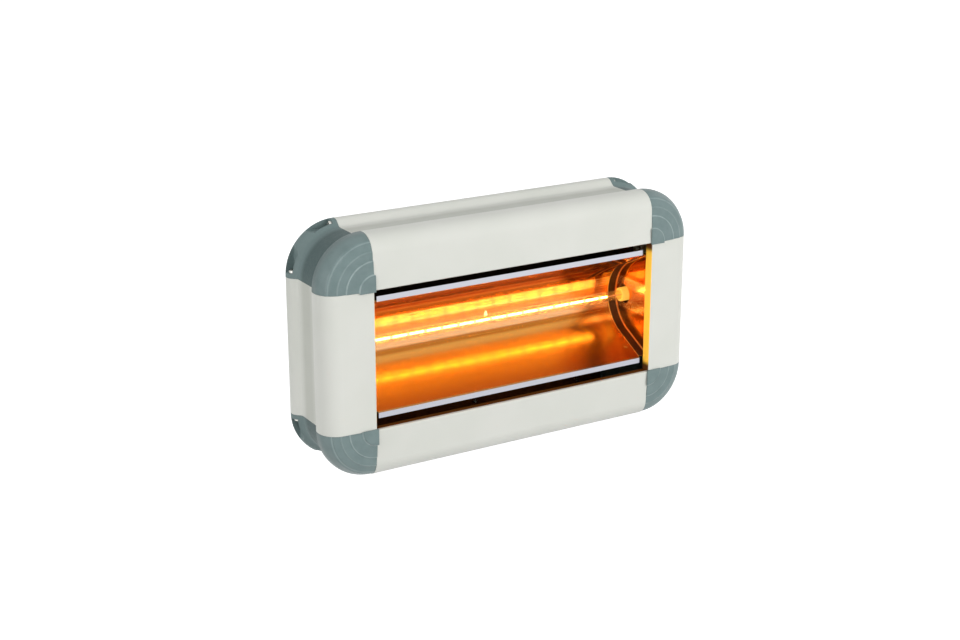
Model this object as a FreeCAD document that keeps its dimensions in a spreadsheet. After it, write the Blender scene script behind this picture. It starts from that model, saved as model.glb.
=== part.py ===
import FreeCAD, Part
import math
import os

import Sketcher

# Radiant heater: a quartz halogen lamp in a polished trough, in a frame of four extrusions and
# four cast corners, on a tilting wall bracket. Millimetres, front towards -Y, +Z up. The origin is
# the middle of the wall bracket's bolt pattern, on the wall. The pieces are drawn in depth from
# the front of the opening, positive to the back, and the finished pieces are then moved forward
# together so that the wall plane is Y = 0.

Vector = FreeCAD.Vector
Rotation = FreeCAD.Rotation
Placement = FreeCAD.Placement

SIZES = {
    # Frame section, outward from the edge of the opening
    "opening_width": 326,
    "opening_height": 142,
    "frame_depth": 94,
    "lobe_width": 53,
    "front_fall": 3.7,
    "nose_radius": 19,
    "lobe_back_depth": 32,
    "lobe_back_radius": 14,
    "groove_sink": 7,
    "groove_front_depth": 36.3,
    "groove_fillet": 6,
    "rear_lobe_length": 14.5,
    "rear_slope_run": 7,
    "rear_crest_radius": 9,
    "rear_edge_radius": 10,
    "profile_wall": 2,
    "return_depth": 10,
    "opening_edge_radius": 1.2,
    "rim_width": 15,
    "flange_width": 16,
    "port_inset": 5.8,
    "port_back_inset": 12.5,
    "port_radius": 4.2,
    "port_mouth": 2.2,
    # Corner castings
    "corner_wall": 3,
    "casting_core_inset": 11.8,
    "disc_radius": 16,
    "disc_rise": 1.2,
    "disc_overlap": 1.2,
    "ring_slope": 0.9,
    "terrace_one_start": 0.4,
    "terrace_one_end": 1.4,
    "terrace_two_inset": 24,
    "terrace_two_start": 2.3,
    "terrace_two_end": 2.9,
    "terrace_three_inset": 15,
    "terrace_three_start": 3.8,
    "terrace_three_end": 6.3,
    "terrace_four_inset": 8,
    "terrace_four_start": 7.2,
    "terrace_four_end": 8,
    "terrace_five_inset": 5.6,
    "terrace_five_start": 9,
    "shoulder_depth": 18,
    "shoulder_radius": 15,
    "pocket_length": 17.5,
    "pocket_sink": 9.8,
    "pocket_back_wall": 7.5,
    "end_flange": 5,
    # Screws of the frame
    "screw_radius": 2,
    "screw_head_radius": 3.8,
    "screw_head_height": 2.6,
    "screw_head_round": 1.4,
    "corner_screw_length": 18,
    "cover_screw_length": 8,
    "screw_clearance": 0.05,
    "corner_hole_clearance": 0.25,
    # Rear cover
    "cover_thickness": 2,
    "gasket_thickness": 1.5,
    "cover_clearance": 0.4,
    "gasket_clearance": 0.6,
    "cover_screw_inset": 8,
    "cover_screw_spacing": 130,
    # Reflector trough
    "trough_length": 314,
    "trough_sheet": 0.8,
    "lip_front_depth": 8,
    "lip_inner_height": 57,
    "lip_width": 5.5,
    "flank_apex_depth": 121.8,
    "trough_bend_radius": 42,
    # End caps and end mirrors
    "strap_thickness": 1.2,
    "strap_overlap": 10,
    "strap_front_depth": 11,
    "strap_visible": 12,
    "mirror_thickness": 1,
    "mirror_clearance": 0.3,
    "lamp_hole_radius": 10.5,
    "foot_height": 16,
    "foot_offset": 14,
    "foot_width": 14,
    "rivet_radius": 1.6,
    "rivet_head_radius": 3.2,
    "rivet_head_height": 1,
    "rivet_flank_share": 0.16,
    "rivet_clearance": 0.05,
    # Lamp
    "lamp_standoff": 14,
    "tube_radius": 5,
    "tube_wall": 1,
    "tube_seat": 8,
    "base_radius": 7.5,
    "base_length": 22,
    "base_start": 163,
    "base_groove_depth": 0.8,
    "base_groove_width": 8,
    "base_groove_inset": 5,
    "base_edge": 0.8,
    "base_clearance": 0.05,
    "pip_radius": 2.2,
    "pip_tip_radius": 0.7,
    "pip_height": 5,
    "pip_offset": 6,
    "filament_radius": 1.2,
    "filament_length": 288,
    "filament_tail_radius": 0.5,
    "support_count": 15,
    "support_pitch": 19.5,
    "support_radius": 3.8,
    "support_thickness": 0.6,
    # Lamp clips
    "clip_thickness": 0.8,
    "clip_width": 7,
    "clip_mouth_height": 5.9,
    "clip_mouth_reach": 5.5,
    "clip_flare": 3.6,
    "clip_shoulder_reach": 2,
    "tongue_thickness": 1.2,
    "tongue_height": 14,
    # Leads, terminal block and earth
    "lead_radius": 1.5,
    "lead_bend": 8,
    "lead_clearance": 0.1,
    "lead_seat": 6,
    "lead_out": 14,
    "lead_standoff": 9,
    "right_lead_drop": 34,
    "left_lead_drop": 38,
    "terminal_left": 60,
    "terminal_pitch": 12,
    "terminal_height": 20,
    "terminal_thickness": 18,
    "terminal_drop": 46,
    "terminal_barrier": 2,
    "terminal_barrier_sink": 4,
    "terminal_seat": 7,
    "terminal_screw_radius": 2.2,
    "terminal_screw_height": 5,
    "earth_drop": 20,
    "earth_tag_radius": 5.5,
    "earth_tag_thickness": 1,
    # Cable gland
    "gland_across": 130,
    "gland_drop": 45,
    "gland_stem_radius": 8,
    "gland_stem_length": 12,
    "gland_flats": 22,
    "gland_hex_height": 6,
    "gland_nut_height": 5,
    "gland_cap_height": 12,
    "gland_cap_round": 4,
    "gland_cap_mouth_radius": 6.5,
    "gland_neck_radius": 7.2,
    "gland_neck_length": 9,
    "gland_bore_radius": 6.2,
    "cable_radius": 4.5,
    "gland_clearance": 0.1,
    # Tilting bracket
    "pivot_reach": 32,
    "wall_reach": 74,
    "bracket_sheet": 3,
    "bracket_bend": 5,
    "tilt_bracket_width": 100,
    "ear_half_height": 22,
    "ear_end_radius": 21,
    "ear_gap": 1,
    "wall_plate_half_height": 36,
    "wall_plate_shoulder": 12,
    "wall_ear_waist": 40,
    "wall_ear_round": 8,
    "wall_hole_radius": 3.25,
    "wall_hole_spacing_across": 70,
    "wall_hole_spacing_up": 48,
    "pivot_radius": 4,
    "pivot_clearance": 0.05,
    "pivot_head_flats": 13,
    "pivot_head_height": 5,
    "pivot_nut_height": 6.5,
    "pivot_washer_radius": 9,
    "pivot_bolt_tail": 2,
    "lock_orbit": 15,
    "lock_radius": 2.5,
    "lock_slot_clearance": 0.3,
    "lock_head_flats": 8,
    "lock_head_height": 3.5,
    "lock_nut_height": 4,
    "running_gap": 0.1,
    "tilt_range": 45,
    "bracket_screw_radius": 2.5,
    "bracket_screw_head_radius": 4.6,
    "bracket_screw_head_height": 3,
    "bracket_screw_across": 68,
    "bracket_screw_up": 24,
    "bracket_nut_flats": 8,
    "bracket_nut_height": 4,
    "cut_overrun": 5,
}

doc = FreeCAD.newDocument("radiant_heater")
sheet = doc.addObject("Spreadsheet::Sheet", "Sizes")
for row, (alias, number) in enumerate(SIZES.items(), start=1):
    sheet.set("A%d" % row, alias)
    sheet.set("B%d" % row, str(number))
    sheet.setAlias("B%d" % row, alias)
doc.recompute()


class Size:
    """A size worked out from the sheet: its value now, and the formula that binds it."""

    def __init__(self, value, formula):
        self.value = float(value)
        self.formula = formula

    def join(self, other, sign, value, swap=False):
        first, second = formula_of(self), formula_of(other)
        if swap:
            first, second = second, first
        return Size(value, "(%s %s %s)" % (first, sign, second))

    def __add__(self, other):
        return self.join(other, "+", self.value + value_of(other))

    def __sub__(self, other):
        return self.join(other, "-", self.value - value_of(other))

    def __mul__(self, other):
        return self.join(other, "*", self.value * value_of(other))

    def __truediv__(self, other):
        return self.join(other, "/", self.value / value_of(other))

    def __rsub__(self, other):
        return self.join(other, "-", value_of(other) - self.value, swap=True)

    def __neg__(self):
        return Size(-self.value, "(-%s)" % self.formula)

    __radd__ = __add__
    __rmul__ = __mul__


def value_of(size):
    return size.value if isinstance(size, Size) else float(size)


def formula_of(size):
    return size.formula if isinstance(size, Size) else repr(size)


def hypotenuse(one, other):
    """The long side of a right triangle."""
    value = math.hypot(one.value, other.value)
    return Size(value, "sqrt(%s ^ 2 + %s ^ 2)" % (one.formula, other.formula))


class SizeTable:
    """Reads a named size of the sheet as an attribute."""

    def __getattr__(self, alias):
        return Size(sheet.get(alias), "Sizes." + alias)


dims = SizeTable()

ZERO = 0
X_AXIS = Vector(1, 0, 0)
Y_AXIS = Vector(0, 1, 0)
Z_AXIS = Vector(0, 0, 1)
# A section seen from the side has depth to its right and height upwards, and faces +X.
SIDE = Rotation(Vector(1, 1, 1), 120)
# A plan has +X to its right and depth upwards, and faces +Z.
PLAN = Rotation()
# A front view has +X to its right and height upwards, and faces the front.
FRONT = Rotation(X_AXIS, 90)
# Turns a piece that was revolved about X so that its axis points another way.
TO_BACK = Rotation(Z_AXIS, 90)
TO_FRONT = Rotation(Z_AXIS, -90)
TO_LEFT = Rotation(Z_AXIS, 180)
TO_RIGHT = Rotation()
TO_TOP = Rotation(Y_AXIS, -90)
TO_BOTTOM = Rotation(Y_AXIS, 90)
HEX_CORNER_SHARE = 1 / math.sqrt(3)

nodes = []


def bind(item, **sizes):
    """Ties properties of a document object to sizes of the sheet."""
    for name, size in sizes.items():
        if isinstance(size, Size):
            item.setExpression(name, size.formula)
        else:
            setattr(item, name, size)


def place(item, x=ZERO, y=ZERO, z=ZERO, turn=None):
    """Puts an object at a place that follows the sheet."""
    spot = Vector(value_of(x), value_of(y), value_of(z))
    item.Placement = Placement(spot, turn or Rotation())
    for letter, size in (("x", x), ("y", y), ("z", z)):
        if isinstance(size, Size):
            item.setExpression("Placement.Base." + letter, size.formula)
    return item


def new(kind, name):
    return doc.addObject(kind, name)


def box(name, low, high):
    """A box between two corners."""
    item = new("Part::Box", name)
    bind(item, Length=high[0] - low[0], Width=high[1] - low[1], Height=high[2] - low[2])
    return place(item, *low)


def cylinder(name, start, axis, radius, length):
    """A cylinder from its start along an axis."""
    item = new("Part::Cylinder", name)
    bind(item, Radius=radius, Height=length)
    return place(item, *start, turn=Rotation(Z_AXIS, axis))


def cone(name, start, axis, start_radius, end_radius, length):
    """A cone from its start along an axis."""
    item = new("Part::Cone", name)
    bind(item, Radius1=start_radius, Radius2=end_radius, Height=length)
    return place(item, *start, turn=Rotation(Z_AXIS, axis))


def along_depth(name, x, z, radius, depth):
    """A hole along Y about a depth."""
    return cylinder(name, (x, depth - dims.cut_overrun, z), Y_AXIS, radius, dims.cut_overrun * 2)


def hexagon(name, start, axis, flats, length):
    """A hexagonal bar from its start along an axis, of a width across its flats."""
    item = new("Part::Prism", name)
    item.Polygon = 6
    bind(item, Circumradius=flats * HEX_CORNER_SHARE, Height=length)
    return place(item, *start, turn=Rotation(Z_AXIS, axis))


class Corner:
    """One point of an outline: where it is, and the arc that rounds it."""

    def __init__(self, point):
        self.x, self.y = point[0], point[1]
        self.radius = point[2] if len(point) > 2 else None
        self.spot = Vector(value_of(self.x), value_of(self.y), 0)

    def round_off(self, before, after):
        """Finds where the arc leaves the two straight runs."""
        self.arrive = self.leave = self.spot
        if self.radius is None:
            return
        back = (before.spot - self.spot).normalize()
        ahead = (after.spot - self.spot).normalize()
        half = back.getAngle(ahead) / 2
        reach = self.radius.value / math.tan(half)
        self.arrive = self.spot + back * reach
        self.leave = self.spot + ahead * reach
        middle = (back + ahead).normalize()
        self.centre = self.spot + middle * (self.radius.value / math.sin(half))
        self.turns_left = back.cross(ahead).z < 0

    def arc(self):
        first, last = (self.arrive, self.leave) if self.turns_left else (self.leave, self.arrive)
        angles = [math.atan2(end.y - self.centre.y, end.x - self.centre.x) for end in (first, last)]
        return Part.ArcOfCircle(Part.Circle(self.centre, Z_AXIS, self.radius.value), *angles)


class Outline:
    """Draws a sketch of straight runs with rounded corners, every point tied to the sheet."""

    def __init__(self, name, points, turn, closed):
        self.sketch = new("Sketcher::SketchObject", name)
        self.sketch.Placement = Placement(Vector(), turn)
        self.rules = []
        self.ties = []
        corners = [Corner(point) for point in points]
        count = len(corners)
        for number, corner in enumerate(corners):
            corner.round_off(corners[number - 1], corners[(number + 1) % count])
        runs = count if closed else count - 1
        lines = []
        for number in range(runs):
            start, end = corners[number].leave, corners[(number + 1) % count].arrive
            lines.append(self.sketch.addGeometry(Part.LineSegment(start, end), False))
        for number, corner in enumerate(corners):
            before = lines[number - 1] if closed or number > 0 else None
            after = lines[number] if number < runs else None
            self.tie_corner(corner, before, after)
        self.sketch.addConstraint(self.rules)
        for index, formula in self.ties:
            self.sketch.setExpression("Constraints[%d]" % index, formula)

    def rule(self, *words):
        self.rules.append(Sketcher.Constraint(*words))

    def tie(self, size, *words):
        """A rule whose value follows the sheet."""
        self.rule(*words, size.value)
        self.ties.append((len(self.rules) - 1, size.formula))

    def tie_point(self, corner, item, end):
        for size, kind, axis in ((corner.x, "DistanceX", -2), (corner.y, "DistanceY", -1)):
            if isinstance(size, Size):
                self.tie(size, kind, -1, 1, item, end)
            else:
                self.rule("PointOnObject", item, end, axis)

    def tie_corner(self, corner, before, after):
        if corner.radius is None:
            if before is not None and after is not None:
                self.rule("Coincident", before, 2, after, 1)
            if after is not None:
                self.tie_point(corner, after, 1)
            else:
                self.tie_point(corner, before, 2)
            return
        point = self.sketch.addGeometry(Part.Point(corner.spot), True)
        self.tie_point(corner, point, 1)
        self.rule("PointOnObject", point, 1, before)
        self.rule("PointOnObject", point, 1, after)
        arc = self.sketch.addGeometry(corner.arc(), False)
        first, last = (1, 2) if corner.turns_left else (2, 1)
        self.rule("Tangent", before, 2, arc, first)
        self.rule("Tangent", arc, last, after, 1)
        self.tie(corner.radius, "Radius", arc)


def outline(name, points, turn=SIDE):
    """A closed outline."""
    return Outline(name, points, turn, True).sketch


def path(name, points, turn=SIDE):
    """An open path, such as the skin of a folded sheet."""
    return Outline(name, points, turn, False).sketch


def skin(name, source, thickness):
    """A wall of one thickness along an open path. A negative thickness is on the other side."""
    item = new("Part::Offset2D", name)
    item.Source = source
    item.Mode = "Skin"
    item.Join = "Intersection"
    item.Fill = True
    bind(item, Value=thickness)
    return item


def parallel(name, source, distance):
    """The same path, a distance to one side."""
    item = new("Part::Offset2D", name)
    item.Source = source
    item.Mode = "Skin"
    item.Join = "Intersection"
    bind(item, Value=distance)
    return item


def extrude(name, source, axis, length, start=None):
    """A section drawn out along an axis, from a start, or evenly to both sides."""
    item = new("Part::Extrusion", name)
    item.Base = source
    item.DirMode = "Custom"
    item.Dir = axis
    item.Solid = True
    item.Symmetric = start is None
    bind(item, LengthFwd=length)
    if start is not None:
        place(item, *start)
    return item


def revolve(name, source, axis=X_AXIS, angle=360):
    item = new("Part::Revolution", name)
    item.Source = source
    item.Axis = axis
    item.Angle = angle
    item.Solid = True
    return item


def fuse(name, *items):
    item = new("Part::MultiFuse", name)
    item.Shapes = list(items)
    item.Refine = True
    return item


def cut(name, base, *tools):
    """Takes the tools away from the base."""
    item = new("Part::Cut", name)
    item.Base = base
    item.Tool = tools[0] if len(tools) == 1 else gather(name + "_tools", *tools)
    return item


def common(name, one, other):
    item = new("Part::Common", name)
    item.Base = one
    item.Tool = other
    return item


def gather(name, *items):
    """Separate solids as one object."""
    item = new("Part::Compound", name)
    item.Links = list(items)
    return item


WALL_DEPTH = dims.frame_depth + dims.pivot_reach + dims.wall_reach
PIVOT_DEPTH = dims.frame_depth + dims.pivot_reach


def finish(label, item, x=ZERO, z=ZERO, turn=None):
    """Names a finished piece and moves it forward from the wall."""
    item.Label = label
    place(item, x, -WALL_DEPTH, z, turn)
    nodes.append(item)


HALF_WIDTH = dims.opening_width / 2
HALF_HEIGHT = dims.opening_height / 2
# The four corners, each a quarter turn about Y on from the one before
CORNERS = ("top_right", "bottom_right", "bottom_left", "top_left")
QUARTER = 90


def turn_quarters(x, z, quarters):
    """A place in the upper right corner's own frame, turned to another corner."""
    for _ in range(quarters):
        x, z = z, -x
    return x, z


def corner_place(label):
    """Where a corner of the opening is."""
    x = HALF_WIDTH if label.endswith("right") else -HALF_WIDTH
    z = HALF_HEIGHT if label.startswith("top") else -HALF_HEIGHT
    return x, z


# Frame profiles

RIM = dims.lobe_width - dims.rim_width
FLANGE_END = RIM - dims.flange_width
FLANGE_DEPTH = dims.frame_depth - dims.cover_thickness - dims.gasket_thickness
GROOVE_FLOOR = dims.lobe_width - dims.groove_sink
COVER_SCREW_OFFSET = RIM - dims.cover_screw_inset
COVER_INNER_DEPTH = dims.frame_depth - dims.cover_thickness
REAR_CREST = dims.frame_depth - dims.rear_lobe_length
GROOVE_BACK = REAR_CREST - dims.rear_slope_run
PORT_OFFSET = dims.lobe_width - dims.port_inset
PORT_DEPTH = dims.frame_depth - dims.port_back_inset

frame_skin = path("frame_skin", [
    (dims.return_depth, ZERO),
    (ZERO, ZERO, dims.opening_edge_radius),
    (dims.front_fall, dims.lobe_width, dims.nose_radius),
    (dims.lobe_back_depth, dims.lobe_width, dims.lobe_back_radius),
    (dims.groove_front_depth, GROOVE_FLOOR),
    (GROOVE_BACK, GROOVE_FLOOR, dims.groove_fillet),
    (REAR_CREST, dims.lobe_width, dims.rear_crest_radius),
    (dims.frame_depth, dims.lobe_width, dims.rear_edge_radius),
    (dims.frame_depth, RIM),
    (FLANGE_DEPTH, RIM),
    (FLANGE_DEPTH, FLANGE_END),
])
frame_wall = skin("frame_wall", frame_skin, dims.profile_wall)


def cover_screw_spots():
    """Where the rear cover is screwed down: place across and up, and the side that it is on."""
    up = HALF_HEIGHT + COVER_SCREW_OFFSET
    across = HALF_WIDTH + COVER_SCREW_OFFSET
    spots = []
    for step in (-1, 0, 1):
        spots.append((dims.cover_screw_spacing * step, up, "top"))
        spots.append((dims.cover_screw_spacing * step, -up, "bottom"))
    spots.append((-across, ZERO, "left"))
    spots.append((across, ZERO, "right"))
    return spots


def frame_profile(side, length, quarters, places):
    """One extrusion: the skin, the two screw ports along it and the tapped flange holes."""
    bar = extrude(side + "_bar", frame_wall, X_AXIS, length)
    over = length / 2 + dims.cut_overrun
    port = cylinder(side + "_port", (-length / 2, PORT_DEPTH, PORT_OFFSET), X_AXIS,
                    dims.port_radius, length)
    whole = fuse(side + "_whole", bar, port)
    bore = cylinder(side + "_bore", (-over, PORT_DEPTH, PORT_OFFSET), X_AXIS,
                    dims.screw_radius + dims.screw_clearance, over * 2)
    mouth = box(side + "_mouth",
                (-over, PORT_DEPTH - dims.port_mouth / 2, GROOVE_FLOOR - dims.port_radius),
                (over, PORT_DEPTH + dims.port_mouth / 2, PORT_OFFSET))
    holes = [
        along_depth(side + "_flange_hole", along, COVER_SCREW_OFFSET,
                    dims.screw_radius + dims.screw_clearance, FLANGE_DEPTH)
        for along in places
    ]
    shape = cut(side + "_shape", whole, bore, mouth, *holes)
    x, z = turn_quarters(ZERO, HALF_HEIGHT if quarters in (0, 2) else HALF_WIDTH, quarters)
    finish(side + "_profile", shape, x, z, Rotation(Y_AXIS, QUARTER * quarters))


wide_places = (-dims.cover_screw_spacing, ZERO, dims.cover_screw_spacing)
frame_profile("top", dims.opening_width, 0, wide_places)
frame_profile("right", dims.opening_height, 1, (ZERO,))
frame_profile("bottom", dims.opening_width, 2, wide_places)
frame_profile("left", dims.opening_height, 3, (ZERO,))

# Corner castings

CASTING_BACK = FLANGE_DEPTH - dims.corner_wall
CASTING_CORE = dims.lobe_width - dims.casting_core_inset
TERRACE_TWO = dims.lobe_width - dims.terrace_two_inset
TERRACE_THREE = dims.lobe_width - dims.terrace_three_inset
TERRACE_FOUR = dims.lobe_width - dims.terrace_four_inset
TERRACE_FIVE = dims.lobe_width - dims.terrace_five_inset
POCKET_FRONT = dims.frame_depth - dims.pocket_length
POCKET_FLOOR = dims.lobe_width - dims.pocket_sink
corner_section = outline("corner_section", [
    (dims.return_depth, ZERO),
    (ZERO, ZERO),
    (ZERO, dims.disc_radius),
    (dims.terrace_one_start, dims.disc_radius + dims.ring_slope),
    (dims.terrace_one_end, TERRACE_TWO),
    (dims.terrace_two_start, TERRACE_TWO + dims.ring_slope),
    (dims.terrace_two_end, TERRACE_THREE),
    (dims.terrace_three_start, TERRACE_THREE + dims.ring_slope),
    (dims.terrace_three_end, TERRACE_FOUR),
    (dims.terrace_four_start, TERRACE_FOUR + dims.ring_slope),
    (dims.terrace_four_end, TERRACE_FIVE),
    (dims.terrace_five_start, TERRACE_FIVE + dims.ring_slope),
    (dims.shoulder_depth, dims.lobe_width, dims.shoulder_radius),
    (dims.lobe_back_depth, dims.lobe_width, dims.lobe_back_radius),
    (dims.groove_front_depth, GROOVE_FLOOR),
    (GROOVE_BACK, GROOVE_FLOOR, dims.groove_fillet),
    (REAR_CREST, dims.lobe_width, dims.rear_crest_radius),
    (dims.frame_depth, dims.lobe_width, dims.rear_edge_radius),
    (dims.frame_depth, RIM),
    (FLANGE_DEPTH, RIM),
    (FLANGE_DEPTH, FLANGE_END),
    (CASTING_BACK, FLANGE_END),
    (CASTING_BACK, CASTING_CORE),
    (dims.groove_front_depth - dims.corner_wall, CASTING_CORE),
    (dims.lobe_back_depth - dims.corner_wall, dims.lobe_width - dims.corner_wall),
    (dims.front_fall + dims.corner_wall, dims.lobe_width - dims.corner_wall,
     dims.nose_radius - dims.corner_wall),
    (dims.corner_wall, dims.corner_wall),
    (dims.return_depth, dims.corner_wall),
])


def pocket(name, across):
    """A screw pocket in the rear lobe, open outwards, with a flat floor and a flange at its end."""
    far = dims.lobe_width + dims.cut_overrun
    back = dims.frame_depth - dims.pocket_back_wall
    low = (dims.end_flange, POCKET_FRONT, POCKET_FLOOR)
    high = (far, back, far)
    if across:
        return box(name, low, high)
    return box(name, (low[2], low[1], low[0]), (high[2], high[1], high[0]))


def corner_casting(label, quarters):
    name = "corner_" + label
    turned = revolve(name + "_turned", corner_section, Y_AXIS, QUARTER)
    disc = common(
        name + "_disc",
        cone(name + "_round", (ZERO, -dims.disc_rise, ZERO), Y_AXIS,
             dims.disc_radius - dims.ring_slope, dims.disc_radius, dims.disc_rise),
        box(name + "_square", (-dims.disc_overlap, -dims.disc_rise, -dims.disc_overlap),
            (dims.disc_radius, ZERO, dims.disc_radius)),
    )
    hole = dims.screw_radius + dims.corner_hole_clearance
    reach = dims.end_flange + dims.cut_overrun
    tools = [
        pocket(name + "_pocket_across", True),
        pocket(name + "_pocket_up", False),
        cylinder(name + "_hole_across", (-dims.cut_overrun, PORT_DEPTH, PORT_OFFSET),
                 X_AXIS, hole, reach),
        cylinder(name + "_hole_up", (PORT_OFFSET, PORT_DEPTH, -dims.cut_overrun),
                 Z_AXIS, hole, reach),
    ]
    shape = cut(name + "_shape", fuse(name + "_whole", turned, disc), *tools)
    finish(name, shape, *corner_place(label), Rotation(Y_AXIS, QUARTER * quarters))


for quarters, label in enumerate(CORNERS):
    corner_casting(label, quarters)


# Screws

def turned_profile(name, points):
    """Half the section of a round piece: along its axis, then out from it."""
    return outline(name, points, PLAN)


def screw_profile(name, radius, length, head_radius, head_height, head_round):
    """A pan-head screw whose head seats at zero, its shank along +X."""
    return turned_profile(name, [
        (-head_height, ZERO),
        (-head_height, head_radius, head_round),
        (ZERO, head_radius),
        (ZERO, radius),
        (length, radius),
        (length, ZERO),
    ])


def turned_group(label, profile, spots):
    """Copies of one turned piece as a group of separate solids. A spot is a place and a turn."""
    copies = []
    for number, (x, y, z, turn) in enumerate(spots):
        copies.append(place(revolve("%s_%d" % (label, number), profile), x, y, z, turn))
    finish(label, gather(label + "_group", *copies))


frame_screw = (dims.screw_head_radius, dims.screw_head_height, dims.screw_head_round)
corner_screw = screw_profile("corner_screw", dims.screw_radius, dims.corner_screw_length, *frame_screw)
cover_screw = screw_profile("cover_screw", dims.screw_radius, dims.cover_screw_length, *frame_screw)


def corner_screw_spots():
    """Two screws in each corner, one into each of the profiles that meet there."""
    ways = (TO_LEFT, TO_TOP, TO_RIGHT, TO_BOTTOM)
    spots = []
    for quarters, label in enumerate(CORNERS):
        corner_x, corner_z = corner_place(label)
        x, z = turn_quarters(dims.end_flange, PORT_OFFSET, quarters)
        spots.append((corner_x + x, PORT_DEPTH, corner_z + z, ways[quarters]))
        x, z = turn_quarters(PORT_OFFSET, dims.end_flange, quarters)
        spots.append((corner_x + x, PORT_DEPTH, corner_z + z, ways[quarters - 1]))
    return spots


turned_group("corner_screws", corner_screw, corner_screw_spots())
turned_group("rear_cover_screws", cover_screw,
             [(x, dims.frame_depth, z, TO_FRONT) for x, z, _ in cover_screw_spots()])

# Reflector trough

LIP_OUTER = dims.lip_inner_height + dims.lip_width
FLANK_RUN = dims.flank_apex_depth - dims.lip_front_depth
FLANK_LENGTH = hypotenuse(FLANK_RUN, dims.lip_inner_height)
# A step outward from a flank moves the flank up, and its apex back, by these times the step.
FLANK_UP = FLANK_LENGTH / FLANK_RUN
FLANK_BACK = FLANK_LENGTH / dims.lip_inner_height
# The rounded bend ends short of the apex where the flanks would meet, and the lamp is in front of it.
TROUGH_VERTEX = dims.flank_apex_depth - dims.trough_bend_radius * (FLANK_BACK - 1)
LAMP_DEPTH = TROUGH_VERTEX - dims.lamp_standoff

trough_face = path("trough_face", [
    (dims.lip_front_depth, LIP_OUTER),
    (dims.lip_front_depth, dims.lip_inner_height),
    (dims.flank_apex_depth, ZERO, dims.trough_bend_radius),
    (dims.lip_front_depth, -dims.lip_inner_height),
    (dims.lip_front_depth, -LIP_OUTER),
])
TROUGH_END = dims.trough_length / 2
MIRROR_PLACE = TROUGH_END + dims.strap_visible
CAP_WALL_PLACE = MIRROR_PLACE + dims.mirror_thickness
CAP_END = CAP_WALL_PLACE + dims.strap_thickness
CAP_GROWTH = dims.trough_sheet + dims.strap_thickness
SIDES = (("left", -1), ("right", 1))


def mirrored(sign, near, far):
    """A stretch along X on the right, or its mirror image on the left."""
    return (near, far) if sign > 0 else (-far, -near)


def rivet_spots():
    """Rivets through trough and strap on both flanks: the place on the trough's face, and its tilt."""
    share = dims.rivet_flank_share
    depth = dims.lip_front_depth + FLANK_RUN * share
    up = dims.lip_inner_height * (1 - share)
    tilt = math.degrees(math.atan2(FLANK_RUN.value, dims.lip_inner_height.value))
    across = TROUGH_END - dims.strap_overlap / 2
    spots = []
    for _, sign in SIDES:
        spots.append((across * sign, depth, up, Rotation(X_AXIS, tilt - QUARTER).multiply(TO_TOP)))
        spots.append((across * sign, depth, -up, Rotation(X_AXIS, QUARTER - tilt).multiply(TO_BOTTOM)))
    return spots


def rivet_holes(name):
    """Holes along the rivets, square to the flanks."""
    profile = turned_profile(name + "_profile", [
        (-dims.cut_overrun, ZERO),
        (-dims.cut_overrun, dims.rivet_radius + dims.rivet_clearance),
        (dims.cut_overrun, dims.rivet_radius + dims.rivet_clearance),
        (dims.cut_overrun, ZERO),
    ])
    return [
        place(revolve("%s_%d" % (name, number), profile), *spot)
        for number, spot in enumerate(rivet_spots())
    ]


trough_wall = skin("trough_wall", trough_face, -dims.trough_sheet)
trough_bar = extrude("trough_bar", trough_wall, X_AXIS, dims.trough_length)
finish("reflector_trough", cut("trough_shape", trough_bar, *rivet_holes("trough_rivet_hole")))

rivet_profile = turned_profile("rivet_profile", [
    (-dims.rivet_head_height, ZERO),
    (-dims.rivet_head_height, dims.rivet_head_radius, dims.rivet_head_height / 2),
    (ZERO, dims.rivet_head_radius),
    (ZERO, dims.rivet_radius),
    (CAP_GROWTH, dims.rivet_radius),
    (CAP_GROWTH, dims.rivet_head_radius),
    (CAP_GROWTH + dims.rivet_head_height, dims.rivet_head_radius),
    (CAP_GROWTH + dims.rivet_head_height, ZERO),
])
turned_group("reflector_rivets", rivet_profile, rivet_spots())

# End caps and end mirrors

STRAP_START_UP = (dims.flank_apex_depth - dims.strap_front_depth) / FLANK_RUN * dims.lip_inner_height
strap_line = path("strap_line", [
    (dims.strap_front_depth, STRAP_START_UP),
    (dims.flank_apex_depth, ZERO, dims.trough_bend_radius),
    (dims.strap_front_depth, -STRAP_START_UP),
])
strap_face = parallel("strap_face", strap_line, -dims.trough_sheet)
strap_wall = skin("strap_wall", strap_face, -dims.strap_thickness)
CAP_UP = STRAP_START_UP + FLANK_UP * CAP_GROWTH
cap_outline = outline("cap_outline", [
    (dims.strap_front_depth, CAP_UP),
    (dims.flank_apex_depth + FLANK_BACK * CAP_GROWTH, ZERO, dims.trough_bend_radius + CAP_GROWTH),
    (dims.strap_front_depth, -CAP_UP),
])
MIRROR_UP = STRAP_START_UP - FLANK_UP * dims.mirror_clearance
mirror_outline = outline("mirror_outline", [
    (dims.strap_front_depth, MIRROR_UP),
    (dims.flank_apex_depth - FLANK_BACK * dims.mirror_clearance, ZERO,
     dims.trough_bend_radius - dims.mirror_clearance),
    (dims.strap_front_depth, -MIRROR_UP),
])
TONGUE_FRONT = LAMP_DEPTH + dims.base_radius + dims.base_clearance + dims.clip_thickness
BASE_END = dims.base_start + dims.base_length
FOOT_TOP = dims.foot_offset + dims.foot_height
FOOT_SCREW_ACROSS = CAP_END - dims.foot_width / 2
FOOT_SCREW_UP = dims.foot_offset + dims.foot_height / 2


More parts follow.
